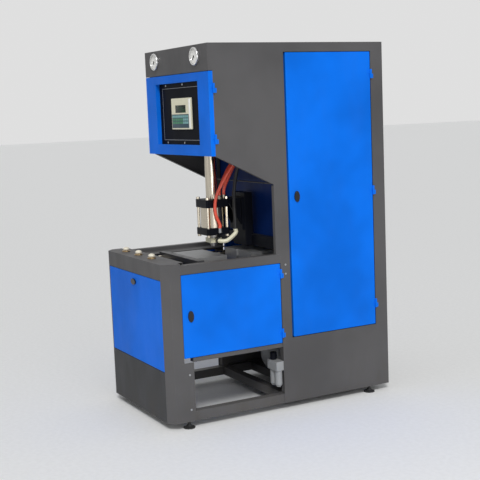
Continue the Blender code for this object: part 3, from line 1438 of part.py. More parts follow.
def build_air_equipment():
    """The air receiver, the valve manifold and the filter-regulator with its knob."""
    ends = [math.pi / 2 * step / 4 for step in range(5)]
    dish = TANK_RADIUS / 2
    profile = [
        (TANK_RADIUS * math.sin(turn), TANK_LENGTH - dish + dish * math.cos(turn)) for turn in ends
    ]
    profile += [(TANK_RADIUS * math.cos(turn), dish - dish * math.sin(turn)) for turn in ends]
    sill_top = FLOOR_CLEARANCE + SILL
    axis_z = sill_top + TANK_GAP + TANK_RADIUS
    tank = placed(turned("air_tank", profile, steps=16), (0, TANK_FRONT_Y, axis_z), (0, 1, 0))
    low = sill_top - WELD + SEAT
    reach = TANK_RADIUS * 0.7
    for number in (0, 1):
        y = SADDLE_Y + number * SADDLE_SPACING
        corners = (-reach, y, low), (reach, y + SADDLE_WIDTH, axis_z - reach / 2)
        join(tank, box(f"tank_saddle_{number}", *corners))
    keep(tank, TANK)

    back = BEAM_FRONT_Y - SEAT
    front = back - MANIFOLD_DEPTH
    top = HEAD_BEAM_BOTTOM + MANIFOLD_HEIGHT
    manifold = box(
        "valve_manifold",
        (MANIFOLD_X - MANIFOLD_HALF, front, HEAD_BEAM_BOTTOM),
        (MANIFOLD_X + MANIFOLD_HALF, back, top),
    )
    pitch = 2 * MANIFOLD_HALF / VALVE_COUNT
    valves = []
    for number in range(VALVE_COUNT):
        x = MANIFOLD_X - MANIFOLD_HALF + pitch / 2 + pitch * number
        low = (x - VALVE_WIDTH / 2, front + SHEET, top - SHEET)
        valves.append((low, (x + VALVE_WIDTH / 2, back - SHEET, top + VALVE_HEIGHT)))
    keep(join(manifold, boxes("valve_bodies", valves)), ALUMINIUM)
    build_filter_regulator()


def build_filter_regulator():
    """The filter-regulator on the right upright: a block, two bowls and the setting knob."""
    back = BEAM_FRONT_Y - SEAT
    middle = back - FILTER_BLOCK / 2
    centre_x = INSIDE - FILTER_SPACING
    block = box(
        "filter_regulator",
        (centre_x - FILTER_SPACING, back - FILTER_BLOCK, FILTER_HEIGHT - FILTER_BLOCK / 2),
        (centre_x + FILTER_SPACING, back, FILTER_HEIGHT + FILTER_BLOCK / 2),
    )
    under = FILTER_HEIGHT - FILTER_BLOCK / 2 + WELD
    bowl = [
        (0, under),
        (FILTER_BOWL_RADIUS, under),
        (FILTER_BOWL_RADIUS, under - FILTER_BOWL_LENGTH * 0.85),
        (FILTER_BOWL_RADIUS * 0.6, under - FILTER_BOWL_LENGTH),
        (0, under - FILTER_BOWL_LENGTH),
    ]
    bowls = [
        placed(turned("bowl", bowl, steps=16), (centre_x + side * FILTER_SPACING / 2, middle, 0))
        for side in (-1, 1)
    ]
    keep(join(block, merged("filter_bowls", bowls)), TANK)

    base = FILTER_HEIGHT + FILTER_BLOCK / 2 + SEAT
    profile = [
        (0, base + KNOB_HEIGHT),
        (KNOB_RADIUS * 0.85, base + KNOB_HEIGHT),
        (KNOB_RADIUS, base + KNOB_HEIGHT * 0.9),
        (KNOB_RADIUS, base + KNOB_HEIGHT * 0.2),
        (KNOB_RADIUS * 0.85, base),
        (0, base),
    ]
    place = Vector((centre_x - FILTER_SPACING / 2, middle, 0))
    knob = placed(turned("regulator_knob", profile, steps=16), place)
    keep(hang(knob, place + Vector((0, 0, base))), BLACK)


def put_barrels(bm, side, axis_y, heights):
    """Adds a hinge half's barrels, standing on the given heights."""
    x = side * HINGE_X
    for height in heights:
        top = height + KNUCKLE_LENGTH
        put_rod(bm, (x, axis_y, height), (x, axis_y, top), KNUCKLE_RADIUS, segments=10)
    return bm


def knuckle_leaves(bm, side, axis_y, heights, way):
    """Adds a hinge half's flat leaves, from the axis toward -Y for a door or +Y for the plate."""
    x_low, x_high = sorted((side * (SIDE - DOOR_WALL / 2), side * (SIDE + LEAF_THICKNESS)))
    y_low, y_high = sorted((axis_y + way * REVEAL, axis_y + way * LEAF_LENGTH))
    for height in heights:
        top = height + KNUCKLE_LENGTH - SEAT
        put_box(bm, (x_low, y_low, height + SEAT), (x_high, y_high, top))
    return bm


def put_pins(bm, side, axis_y, heights, radius, headroom):
    """Adds the pins that stand in the lower barrels and reach up into the upper ones."""
    x = side * HINGE_X
    for height in heights:
        low = height + KNUCKLE_LENGTH - LEAF_THICKNESS
        high = height + 2 * KNUCKLE_LENGTH - headroom
        put_rod(bm, (x, axis_y, low), (x, axis_y, high), radius, segments=8)
    return bm


def add_door_knuckles(door, side, axis_y, heights):
    """Welds the upper hinge halves to a door and bores them for the pins."""
    upper = [height + KNUCKLE_LENGTH + SEAT for height in heights]
    leaves = knuckle_leaves(bmesh.new(), side, axis_y, upper, -1)
    barrels = put_barrels(bmesh.new(), side, axis_y, upper)
    radius = KNUCKLE_RADIUS / 2 + RUNNING_GAP
    bores = put_pins(bmesh.new(), side, axis_y, heights, radius, LEAF_THICKNESS)
    join(door, as_object(f"{door.name}_leaves", leaves))
    join(door, as_object(f"{door.name}_barrels", barrels))
    cut(door, as_object(f"{door.name}_bores", bores))


def add_fixed_hinges(cheek, side):
    """The lower hinge halves of one side, with their pins, on its plate."""
    side_heights = hinge_heights(SIDE_DOOR_LOW, SIDE_DOOR_TOP, SIDE_HINGE_INSET, 2)
    cabinet_heights = hinge_heights(CABINET_DOOR_LOW, CABINET_DOOR_TOP, CABINET_HINGE_INSET, 3)
    lines = [(SIDE_HINGE_Y, side_heights), (CABINET_HINGE_Y, cabinet_heights)]
    if side > 0:
        heights = hinge_heights(HEAD_LOW_FRONT, HEAD_DOOR_TOP, HEAD_HINGE_INSET, 2)
        lines.append((HEAD_BACK_Y + REVEAL / 2, heights))
    barrels, leaves, pins = bmesh.new(), bmesh.new(), bmesh.new()
    for axis_y, heights in lines:
        knuckle_leaves(leaves, side, axis_y, heights, 1)
        put_barrels(barrels, side, axis_y, heights)
        put_pins(pins, side, axis_y, heights, KNUCKLE_RADIUS / 2, 2 * LEAF_THICKNESS)
    for part, bm in (("leaves", leaves), ("barrels", barrels), ("pins", pins)):
        join(cheek, as_object(f"{cheek.name}_{part}", bm))
    return cheek


def spindle_hole(name, place, outward):
    """A cutter for the hole in which a lock's spindle turns."""
    place, outward = Vector(place), Vector(outward)
    ends = place - outward * 2 * DOOR_WALL, place + outward * DOOR_WALL
    return rod(name, *ends, LOCK_SPINDLE + RUNNING_GAP, segments=12)


def add_lock(name, place, outward, long_way):
    """A quarter-turn lock: an oval grip outside, a spindle and a cam inside the door."""
    outward, long_way = Vector(outward), Vector(long_way)
    across = outward.cross(long_way)
    frame = Matrix((long_way, across, outward)).transposed().to_4x4()
    frame.translation = Vector(place)
    cam_back = DOOR_DEPTH - 2 * LOCK_CAM_THICKNESS
    grip = plate(
        name, [oval(LOCK_LONG / 2, LOCK_SHORT / 2)], XY_PLANE, SEAT, SEAT + LOCK_PROUD
    )
    ends = (0, 0, -cam_back), (0, 0, LOCK_PROUD / 2)
    spindle = rod(f"{name}_spindle", *ends, LOCK_SPINDLE, segments=12)
    cam = box(
        f"{name}_cam",
        (-LOCK_CAM_WIDTH / 2, -LOCK_CAM, -cam_back - LOCK_CAM_THICKNESS / 2),
        (LOCK_CAM_WIDTH / 2, LOCK_CAM_WIDTH / 2, -cam_back + LOCK_CAM_THICKNESS / 2),
    )
    for piece in (grip, spindle, cam):
        piece.matrix_world = frame
    keep(join(join(grip, spindle), cam), BLACK)


def side_pan(name, side, y_low, y_high, z_low, z_high):
    """A door pan set in a side, flush with it."""
    x_low, x_high = sorted((side * (SIDE - DOOR_DEPTH), side * SIDE))
    return pan(name, (x_low, y_low, z_low), (x_high, y_high, z_high), (-side, 0, 0), DOOR_WALL)


def build_side_doors():
    """The side doors over the clamp and the tall cabinet doors, both hinged at their rear edge."""
    for label, side in (("left", -1), ("right", 1)):
        front = FRONT + POST_BACK + REVEAL
        rear = STRIP_LOW_Y - REVEAL
        low, high = SIDE_DOOR_LOW, SIDE_DOOR_TOP
        door = side_pan(f"side_door_{label}", side, front, rear, low, high)
        heights = hinge_heights(low, high, SIDE_HINGE_INSET, 2)
        finish_side_door(door, side, SIDE_HINGE_Y, heights, front, (low + high) / 2)

        front = STRIP_BACK_Y + CABINET_DOOR_SHADOW
        rear = CABINET_REAR_Y - REVEAL
        low, high = CABINET_DOOR_LOW, CABINET_DOOR_TOP
        door = side_pan(f"cabinet_door_{label}", side, front, rear, low, high)
        heights = hinge_heights(low, high, CABINET_HINGE_INSET, 3)
        finish_side_door(door, side, CABINET_HINGE_Y, heights, front, (low + high) / 2)


def finish_side_door(door, side, axis_y, heights, front, lock_height):
    """Gives a side door its hinge halves and its lock, near the front edge."""
    place = (side * SIDE, front + LOCK_INSET, lock_height)
    outward = (side, 0, 0)
    add_door_knuckles(door, side, axis_y, heights)
    cut(door, spindle_hole(f"{door.name}_hole", place, outward))
    keep(hang(door, (side * HINGE_X, axis_y, heights[0])), BLUE)
    add_lock(door.name.replace("door", "lock"), place, outward, (0, 0, -side))


def main():
    build_base_frame()
    build_side_frames()
    build_clamp_bed()
    build_corner_posts()
    build_skirt_and_panel()
    build_front_rail()
    build_side_plates()
    build_head_shell()
    build_head_door()
    build_gauges()
    build_blow_cylinders()
    build_stretch_rod()
    build_nozzle()
    build_column()
    build_clamp()
    build_air_equipment()
    build_side_doors()


main()
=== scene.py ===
"""Looks of the blow moulding machine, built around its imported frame. Metres, +Z up."""

import math

import bmesh
import bpy
from mathutils import Matrix, Vector


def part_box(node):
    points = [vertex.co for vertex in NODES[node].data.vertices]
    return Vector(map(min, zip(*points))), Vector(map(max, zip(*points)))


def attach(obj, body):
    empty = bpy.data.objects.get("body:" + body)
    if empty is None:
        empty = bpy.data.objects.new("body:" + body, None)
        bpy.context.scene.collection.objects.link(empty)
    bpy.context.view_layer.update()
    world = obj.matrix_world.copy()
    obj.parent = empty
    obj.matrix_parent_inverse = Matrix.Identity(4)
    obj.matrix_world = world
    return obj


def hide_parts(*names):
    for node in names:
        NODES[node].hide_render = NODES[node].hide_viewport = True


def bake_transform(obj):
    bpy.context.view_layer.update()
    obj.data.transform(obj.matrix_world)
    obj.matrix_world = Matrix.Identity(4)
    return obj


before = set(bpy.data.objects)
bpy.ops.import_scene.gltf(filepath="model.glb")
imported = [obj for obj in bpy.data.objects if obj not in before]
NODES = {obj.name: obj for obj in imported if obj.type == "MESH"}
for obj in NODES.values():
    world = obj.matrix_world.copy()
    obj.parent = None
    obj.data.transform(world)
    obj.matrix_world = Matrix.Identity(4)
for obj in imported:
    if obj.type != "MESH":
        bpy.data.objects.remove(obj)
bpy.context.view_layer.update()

# Camera: the photograph's place and roll, turned by some of its pixels to frame the machine
CAMERA_PLACE = Vector((5.085, -2.760, 1.6527))
PHOTO_AZIMUTH = math.radians(56.5641)
PHOTO_PITCH = math.radians(12.2291)
PHOTO_ROLL = math.radians(-1.1763)
PHOTO_FOCAL = 537.77
AIM_RIGHT = -50
AIM_UP = 45
LENS = 76.0
SENSOR = 36.0

# Where the finish changes on one node, read from the part's own sizes
SIDE = 0.4003
FOOT_TOP = 0.0395
COLLAR_BASE = 0.8812
REAR_PLATEN = (0.2598, 0.3003)
PANEL_SCREW_Y = -0.3699
FITTING_BAND = (0.047, 0.070)
STRIP_BOLT_Y = 0.025
STRIP_BOLT_Z = 0.755
STRIP_BOLT_RADIUS = 0.007

# Sizes that the rounder pieces share with the solids that they replace
SEAT = 0.0003
BLOW_Y = -0.20205
EASE = 0.0012
SEAL_WALL = 0.010
STRETCH_LIP = 0.0045
STRETCH_WALL = 0.0045
STRETCH_CAP = 0.030
TABLE_TOP = 0.881
COLLAR_RING_HEIGHT = 0.007
BUTTON_TRAVEL = 0.005
BUTTON_RIM = 0.0037
BUTTON_EDGE = 0.0008
BUTTON_STEM = 0.010

# Gauges
FACE_Y = -0.395
GAUGE_X = 0.258
GAUGE_Z = 1.940
GAUGE_BODY = 0.040
GAUGE_BODY_END = -0.045
GAUGE_STUD = 0.010
GAUGE_STUD_END = -0.067
WINDOW_RADIUS = 0.0412
DIAL_HEIGHT = 0.0051
DIAL_RADIUS = 0.0411
DIAL_EDGE = 0.0005
DIAL_THICKNESS = 0.0012
HUB_RADIUS = 0.0042
DIAL_START = math.radians(225)
DIAL_SWEEP = math.radians(270)
DIAL_NUMBERS = 6
NUMBER_REACH = 0.0265
NUMBER_SIZE = 0.0095
PRINT = 0.0001

# Operator unit and the border round it
SCREEN_RECESS = 0.002
SCREEN_WIDTH = 0.134
SCREEN_HEIGHT = 0.042
SCREEN_SHIFT = -0.0055
SCREEN_DROP = 0.038
SCREEN_GAP = 0.0006
KEY_COLUMNS = 9
KEY_ROWS = 4
KEY_TEAL_COLUMN = 6
KEY_TEAL_ROW = 3
KEY_MARGIN = 0.004
KEY_GAP = (0.0014, 0.0020)
KEY_BEVEL = 0.0005
BORDER_LINE = 0.0022
BORDER_X = (-0.232, 0.244)
BORDER_Z = (1.500, 1.787)

# Colours of the powder coats, with darker copies of the blue and the grey that are painted shade
BLUE_COLOUR = (0.003, 0.150, 0.740)
# Painted shade: the throat's blue wall darkened to navy, as if it lay in the head's shadow
SHADED_BLUE_COLOUR = (0.002, 0.020, 0.120)
GREY_COLOUR = (0.084, 0.082, 0.084)
# Painted shade: the grey coat darkened for the low front skirt, as if shaded near the floor
SHADED_GREY_COLOUR = (0.036, 0.037, 0.040)
BLACK_COLOUR = (0.005, 0.006, 0.010)
TANK_COLOUR = (0.30, 0.31, 0.32)
DIRT_COLOUR = (0.075, 0.068, 0.058)
DUST_COLOUR = (0.30, 0.285, 0.26)
FLECK_COLOUR = (0.34, 0.33, 0.31)

# How finely edges and turned pieces are worked
BEVEL_SAMPLES = 6
FINE_STEPS = 96
BUTTON_STEPS = 48
HUB_STEPS = 32
DOME_STEPS = 8

# Studio
FLOOR_HALF = 60
AMBIENT_COLOUR = (0.95, 0.97, 1.0, 1)
AMBIENT_STRENGTH = 0.34
SEEN_COLOUR = (0.74, 0.74, 0.74, 1)
KEY_FROM = Vector((4.6, -2.4, 4.6))
KEY_ANGLE = math.radians(14)
KEY_STRENGTH = 1.8

# Hose routes, from the throat's upper beam down to the fittings
BLOW_HOSE_RADIUS = 0.010
RED_HOSE_RADIUS = 0.009
HOSES = {
    "blow_hose": (
        (0.1935, -0.0303, 1.4997),
        (0.1935, -0.0303, 1.4497),
        (0.1435, -0.10005, 1.3497),
        (0.0935, -0.11005, 1.193),
        (0.0935, -0.11005, 1.043),
        (0.0935, -0.11005, 0.9933),
    ),
    "red_hose_left": (
        (0.095, -0.0303, 1.4997),
        (0.095, -0.0303, 1.4497),
        (0.07, -0.11505, 1.35),
        (0.0635, -0.17305, 1.2456),
        (0.0585, -0.18505, 1.2056),
        (0.0585, -0.18505, 1.1856),
    ),
    "red_hose_right": (
        (0.13, -0.0303, 1.4997),
        (0.13, -0.0303, 1.4497),
        (0.095, -0.10005, 1.35),
        (0.039, -0.13155, 1.2456),
        (0.034, -0.14355, 1.2056),
        (0.034, -0.14355, 1.1856),
    ),
    "red_hose_front": (
        (0.165, -0.0303, 1.4997),
        (0.165, -0.0303, 1.4497),
        (0.1135, -0.12005, 1.35),
        (0.0915, -0.18505, 1.2456),
        (0.0855, -0.22205, 1.1666),
        (0.0835, -0.22605, 1.0883),
        (0.0835, -0.20205, 1.0233),
        (0.0835, -0.20205, 1.0033),
    ),
}


def camera_axes():
    """The photograph's forward, right and up directions."""
    forward = Vector(
        (
            -math.sin(PHOTO_AZIMUTH) * math.cos(PHOTO_PITCH),
            math.cos(PHOTO_AZIMUTH) * math.cos(PHOTO_PITCH),
            -math.sin(PHOTO_PITCH),
        )
    )
    level = Vector((math.cos(PHOTO_AZIMUTH), math.sin(PHOTO_AZIMUTH), 0))
    rise = level.cross(forward)
    right = level * math.cos(PHOTO_ROLL) + rise * math.sin(PHOTO_ROLL)
    up = rise * math.cos(PHOTO_ROLL) - level * math.sin(PHOTO_ROLL)
    return forward, right, up


def place_camera():
    forward, right, up = camera_axes()
    aim = (forward * PHOTO_FOCAL + right * AIM_RIGHT + up * AIM_UP).normalized()
    side = aim.cross(up).normalized()
    top = side.cross(aim)
    data = bpy.data.cameras.new("camera")
    data.lens = LENS
    data.sensor_width = SENSOR
    camera = bpy.data.objects.new("camera", data)
    turn = Matrix((side, top, -aim)).transposed().to_4x4()
    camera.matrix_world = Matrix.Translation(CAMERA_PLACE) @ turn
    bpy.context.scene.collection.objects.link(camera)
    bpy.context.scene.camera = camera


class Tree:
    """A material's node tree with short calls for the nodes used here."""

    def __init__(self, name):
        self.material = bpy.data.materials.new(name)
        self.material.use_nodes = True
        self.nodes = self.material.node_tree.nodes
        self.links = self.material.node_tree.links
        self.nodes.clear()
        self.output = self.nodes.new("ShaderNodeOutputMaterial")
        self.coord = self.nodes.new("ShaderNodeTexCoord").outputs["Object"]

    def node(self, kind, inputs=None, **settings):
        item = self.nodes.new(kind)
        for key, value in settings.items():
            setattr(item, key, value)
        for key, value in (inputs or {}).items():
            socket = item.inputs[key]
            if isinstance(value, bpy.types.NodeSocket):
                self.links.new(value, socket)
            else:
                socket.default_value = value
        return item

    def math(self, operation, a, b=0.0, clamp=False):
        item = self.node("ShaderNodeMath", {0: a, 1: b}, operation=operation, use_clamp=clamp)
        return item.outputs[0]

    def scaled(self, scale):
        item = self.node("ShaderNodeMapping", {"Vector": self.coord, "Scale": scale})
        return item.outputs[0]

    def noise(self, scale, detail=3.0, rough=0.55, stretch=(1, 1, 1)):
        item = self.node(
            "ShaderNodeTexNoise",
            {"Vector": self.scaled(stretch), "Scale": scale, "Detail": detail, "Roughness": rough},
        )
        return item.outputs["Fac"]

    def spread(self, value, low, high, new_low=0.0, new_high=1.0):
        item = self.node(
            "ShaderNodeMapRange",
            {"Value": value, 1: low, 2: high, 3: new_low, 4: new_high},
            interpolation_type="SMOOTHSTEP",
        )
        return item.outputs[0]

    def mix(self, factor, a, b):
        item = self.node("ShaderNodeMix", {0: factor}, data_type="RGBA")
        for index, value in ((6, a), (7, b)):
            if isinstance(value, bpy.types.NodeSocket):
                self.links.new(value, item.inputs[index])
            else:
                item.inputs[index].default_value = (*value, 1)
        return item.outputs[2]

    def mix_shaders(self, mask, first, second):
        """The first shader, and the second one where the mask is 1."""
        return self.node("ShaderNodeMixShader", {0: mask, 1: first, 2: second}).outputs[0]

    def axis(self, index):
        return self.node("ShaderNodeSeparateXYZ", {0: self.coord}).outputs[index]

    def facing_up(self):
        normal = self.node("ShaderNodeNewGeometry").outputs["Normal"]
        return self.node("ShaderNodeSeparateXYZ", {0: normal}).outputs[2]

    def round_normal(self, radius):
        """The normal as if edges had this radius."""
        return self.node("ShaderNodeBevel", {"Radius": radius}, samples=BEVEL_SAMPLES).outputs[0]

    def edge_wear(self, radius):
        """A mask that is brightest on the object's edges, broken up by noise."""
        worn = self.round_normal(radius)
        flat = self.node("ShaderNodeNewGeometry").outputs["Normal"]
        dot = self.node("ShaderNodeVectorMath", {0: worn, 1: flat}, operation="DOT_PRODUCT")
        turned = self.spread(self.math("SUBTRACT", 1.0, dot.outputs["Value"]), 0.01, 0.16)
        patch = self.spread(self.noise(26.0, 5.0, 0.7), 0.38, 0.60)
        return self.math("MULTIPLY", turned, self.math("MULTIPLY", patch, 0.8), clamp=True)

    def bump(self, height, strength, distance, edge):
        inputs = {
            "Height": height,
            "Strength": strength,
            "Distance": distance,
            "Normal": self.round_normal(edge),
        }
        return self.node("ShaderNodeBump", inputs).outputs[0]

    def finish(self, shader):
        self.links.new(shader, self.output.inputs["Surface"])
        return self.material


def outside(index, limit):
    """A mask that is 1 where the place along an axis is further out than a limit, either way."""
    return lambda tree: tree.math("GREATER_THAN", tree.math("ABSOLUTE", tree.axis(index)), limit)


def above(index, limit):
    return lambda tree: tree.math("GREATER_THAN", tree.axis(index), limit)


def below(index, limit):
    return lambda tree: tree.math("LESS_THAN", tree.axis(index), limit)


def between(index, low, high):
    return lambda tree: tree.math(
        "MULTIPLY",
        tree.math("GREATER_THAN", tree.axis(index), low),
        tree.math("LESS_THAN", tree.axis(index), high),
    )


def beyond(index, low, high):
    """A mask that is 1 outside the stretch from low to high."""
    return lambda tree: tree.math("SUBTRACT", 1.0, between(index, low, high)(tree))


def shade(colour, factor, lift=0.0):
    """A colour times a factor, kept to 1."""
    return tuple(min(1.0, part * factor + lift) for part in colour)


def powder_coat(tree, colour, rough, peel=0.10, dust=0.25, grime=0.35, gloss=0.5, fleck=0.35):
    """Sprayed powder coat: orange peel, faint unevenness, rubbed edges, dust and low dirt."""
    broad = tree.noise(1.6, 3.0)
    fine = tree.noise(420.0, 2.0)
    speck = tree.noise(170.0, 2.0, 0.7)
    smear = tree.noise(7.0, 6.0, 0.65, (1.0, 1.0, 0.35))
    base = tree.mix(tree.spread(broad, 0.35, 0.65), shade(colour, 0.84), shade(colour, 1.10))
    wear = tree.edge_wear(0.0022)
    base = tree.mix(wear, base, shade(colour, 1.9, 0.01))
    low = tree.spread(tree.axis(2), 0.30, 0.02)
    dirt = tree.math("MULTIPLY", tree.spread(smear, 0.42, 0.70), tree.math("ADD", low, 0.08))
    base = tree.mix(tree.math("MULTIPLY", dirt, grime, clamp=True), base, DIRT_COLOUR)
    ledge = tree.spread(tree.facing_up(), 0.6, 0.98)
    settled = tree.math("MULTIPLY", ledge, tree.spread(smear, 0.30, 0.62))
    base = tree.mix(tree.math("MULTIPLY", settled, dust, clamp=True), base, DUST_COLOUR)
    flecks = tree.math("MULTIPLY", tree.spread(speck, 0.70, 0.76), fleck)
    base = tree.mix(flecks, base, FLECK_COLOUR)
    roughness = tree.spread(smear, 0.25, 0.75, rough - 0.07, rough + 0.12)
    shader = tree.node(
        "ShaderNodeBsdfPrincipled",
        {
            "Base Color": base,
            "Roughness": roughness,
            "IOR": 1.5,
            "Specular IOR Level": gloss,
            "Normal": tree.bump(fine, peel, 0.0006, 0.0012),
        },
    )
    return shader.outputs[0]


def metal(
    tree, colour, rough, streak=(1, 1, 1), scale=90.0, relief=0.05, tarnish=0.25, lines=0.15
):
    """Machined or plated metal with tool marks along one direction and a little tarnish."""
    marks = tree.noise(scale, 3.0, 0.6, streak)
    cloud = tree.noise(9.0, 5.0, 0.6)
    dull = shade(colour, 0.62)
    factor = tree.math("MULTIPLY", tree.spread(cloud, 0.45, 0.75), tarnish)
    base = tree.mix(factor, colour, dull)
    base = tree.mix(tree.math("MULTIPLY", tree.spread(marks, 0.45, 0.65), lines), base, dull)
    roughness = tree.spread(marks, 0.3, 0.7, max(0.03, rough - 0.08), rough + 0.10)
    shader = tree.node(
        "ShaderNodeBsdfPrincipled",
        {
            "Base Color": base,
            "Metallic": 1.0,
            "Roughness": roughness,
            "Normal": tree.bump(marks, relief, 0.0004, 0.0006),
        },
    )
    return shader.outputs[0]


def moulded(tree, colour, rough, grain=300.0, relief=0.06, handled=0.2):
    """Moulded plastic or rubber with a fine grain and a little handling dirt."""
    fine = tree.noise(grain, 2.0)
    cloud = tree.noise(14.0, 4.0, 0.6)
    factor = tree.math("MULTIPLY", tree.spread(cloud, 0.5, 0.8), handled)
    shader = tree.node(
        "ShaderNodeBsdfPrincipled",
        {
            "Base Color": tree.mix(factor, colour, shade(colour, 0.72)),
            "Roughness": tree.spread(cloud, 0.3, 0.7, rough - 0.05, rough + 0.10),
            "IOR": 1.46,
            "Normal": tree.bump(fine, relief, 0.0004, 0.0006),
        },
    )
    return shader.outputs[0]


def blue(tree):
    return powder_coat(tree, BLUE_COLOUR, 0.42, dust=0.08, gloss=0.06, fleck=0.08)


# The blue coat darkened as painted shade, for the wall deep in the throat
def navy(tree):
    return powder_coat(tree, SHADED_BLUE_COLOUR, 0.46, dust=0.05, gloss=0.10, fleck=0.08)


def grey(tree):
    return powder_coat(tree, GREY_COLOUR, 0.50, peel=0.22, dust=0.10, grime=0.45, gloss=0.25)


# The grey coat darkened as painted shade, with more dirt towards the bottom
def low_grey(tree):
    return powder_coat(tree, SHADED_GREY_COLOUR, 0.48, peel=0.16, dust=0.20, grime=0.60, gloss=0.20)


def black(tree):
    return powder_coat(
        tree, BLACK_COLOUR, 0.38, peel=0.06, dust=0.04, grime=0.15, gloss=0.08, fleck=0.10
    )


def gloss_black(tree):
    return powder_coat(
        tree, BLACK_COLOUR, 0.30, peel=0.03, dust=0.03, grime=0.10, gloss=0.02, fleck=0.04
    )


def tank_enamel(tree):
    return powder_coat(tree, TANK_COLOUR, 0.42)


def steel(tree):
    return metal(tree, (0.40, 0.39, 0.38), 0.38, streak=(1, 1, 14), scale=40.0)


def oiled_steel(tree):
    return metal(tree, (0.11, 0.11, 0.115), 0.46, streak=(1, 1, 14), scale=40.0)


# Hard chrome with a warm tan tint in its colour: a painted reflection of warm surroundings on a
# metal that is neutral
def chrome(tree):
    return metal(
        tree, (0.62, 0.56, 0.46), 0.20, streak=(1, 1, 0.04), scale=110.0, tarnish=0.30, lines=0.45
    )


def zinc(tree):
    return metal(tree, (0.46, 0.47, 0.48), 0.36, scale=160.0)


def brass(tree):
    return metal(tree, (0.42, 0.30, 0.16), 0.34, scale=160.0)


def bezel_metal(tree):
    return metal(tree, (0.72, 0.72, 0.72), 0.22, scale=160.0)


def aluminium(tree):
    return metal(
        tree, (0.34, 0.345, 0.35), 0.52, streak=(14, 1, 1), scale=30.0, relief=0.06, tarnish=0.20
    )


def cream(tree):
    return moulded(tree, (0.72, 0.69, 0.52), 0.36)


def rubber(tree):
    return moulded(tree, (0.016, 0.016, 0.017), 0.55)


def lock_black(tree):
    return moulded(tree, (0.010, 0.010, 0.012), 0.20, grain=200.0, relief=0.03, handled=0.1)


def red(tree):
    return moulded(tree, (0.82, 0.105, 0.060), 0.28, grain=60.0, relief=0.02)


def hinge_or_bolt(tree):
    """Blue hinge halves, and bright bolt heads on the strip between the two doors."""
    low, high = STRIP_BOLT_Y - STRIP_BOLT_RADIUS, STRIP_BOLT_Y + STRIP_BOLT_RADIUS
    on_strip = between(1, low, high)(tree)
    mask = tree.math("MULTIPLY", on_strip, above(2, STRIP_BOLT_Z)(tree))
    return tree.mix_shaders(mask, blue(tree), zinc(tree))


def plain(name, build):
    tree = Tree(name)
    return tree.finish(build(tree))


def plain_moulded(name, colour, rough, **grain):
    return plain(name, lambda tree: moulded(tree, colour, rough, **grain))


def two(name, first, second, mask):
    """A material with a second finish where the mask is 1."""
    tree = Tree(name)
    return tree.finish(tree.mix_shaders(mask(tree), first(tree), second(tree)))


def paint_nodes():
    """Gives every node of the frame its finish."""
    posts = two("grey_powder_coat", grey, zinc, outside(0, SIDE))
    sides = two("side_plate_finish", grey, hinge_or_bolt, outside(0, SIDE))
    grey_all = plain("grey_powder_coat_plain", grey)
    blue_all = plain("blue_powder_coat", blue)
    black_all = plain("black_enamel", black)
    locks = plain("lock_plastic", lock_black)
    chrome_reflection_all = plain("hard_chrome", chrome)
    steel_all = plain("ground_steel", steel)
    oiled_all = plain("oiled_steel", oiled_steel)
    aluminium_all = plain("machined_aluminium", aluminium)
    cream_all = plain("cream_plastic", cream)
    red_all = plain("red_hose", red)
    rubber_all = plain("black_rubber", rubber)
    tank_all = plain("tank_enamel", tank_enamel)
    barrel_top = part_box("seal_cylinder")[1][2]
    bracket_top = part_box("blow_bracket")[1][2] + SEAT
    flange_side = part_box("seal_flange_top")[1][0] + SEAT
    changing = (
        ("base_frame", "base_frame_finish", grey, rubber, below(2, FOOT_TOP)),
        ("front_rail", "front_rail_finish", grey, brass, above(2, COLLAR_BASE)),
        ("rear_platen", "rear_platen_finish", chrome, oiled_steel, between(1, *REAR_PLATEN)),
        (
            "seal_flange_top",
            "seal_flange_top_finish",
            black,
            chrome,
            beyond(2, barrel_top, bracket_top),
        ),
        ("seal_flange_low", "seal_flange_low_finish", black, zinc, above(0, flange_side)),
        ("display_panel", "display_panel_finish", gloss_black, zinc, below(1, PANEL_SCREW_Y)),
        ("nozzle_fittings", "nozzle_fittings_finish", cream, rubber, between(0, *FITTING_BAND)),
    )
    finishes = {name: two(*finish) for name, *finish in changing}
    # The throat wall gets the darkened blue, which is painted shade
    finishes["throat_wall"] = plain("blue_powder_coat_painted_shade", navy)
    # The front skirt gets the darkened grey, which is painted shade
    finishes["front_skirt"] = plain("grey_powder_coat_painted_shade", low_grey)
    groups = (
        (blue_all, "front_panel head_door side_door_left side_door_right"),
        (blue_all, "cabinet_door_left cabinet_door_right"),
        (sides, "side_plate_left side_plate_right"),
        (posts, "corner_post_left corner_post_right"),
        (grey_all, "side_frame_left side_frame_right clamp_bed head_beam"),
        (grey_all, "head_cover head_floor rear_panel"),
        (locks, "front_lock side_lock_left side_lock_right cabinet_lock_left cabinet_lock_right"),
        (black_all, "gauge_needle_left gauge_needle_right"),
        (black_all, "blow_bracket blow_column regulator_knob"),
        (cream_all, "display_unit button_left button_middle button_right"),
        (chrome_reflection_all, "gauge_left gauge_right seal_cylinder stretch_cylinder stretch_rod"),
        (chrome_reflection_all, "clamp_piston_rod"),
        (steel_all, "nozzle"),
        (oiled_all, "front_platen moving_platen"),
        (aluminium_all, "mould_front mould_rear clamp_cylinder valve_manifold"),
        (tank_all, "air_tank filter_regulator"),
        (red_all, "red_hose_left red_hose_right red_hose_front"),
        (rubber_all, "blow_hose"),
    )
    for material, names in groups:
        for name in names.split():
            finishes[name] = material
    for name, obj in NODES.items():
        if name not in finishes:
            raise SystemExit(f"no finish for {name}")
        obj.data.materials.clear()
        obj.data.materials.append(finishes[name])


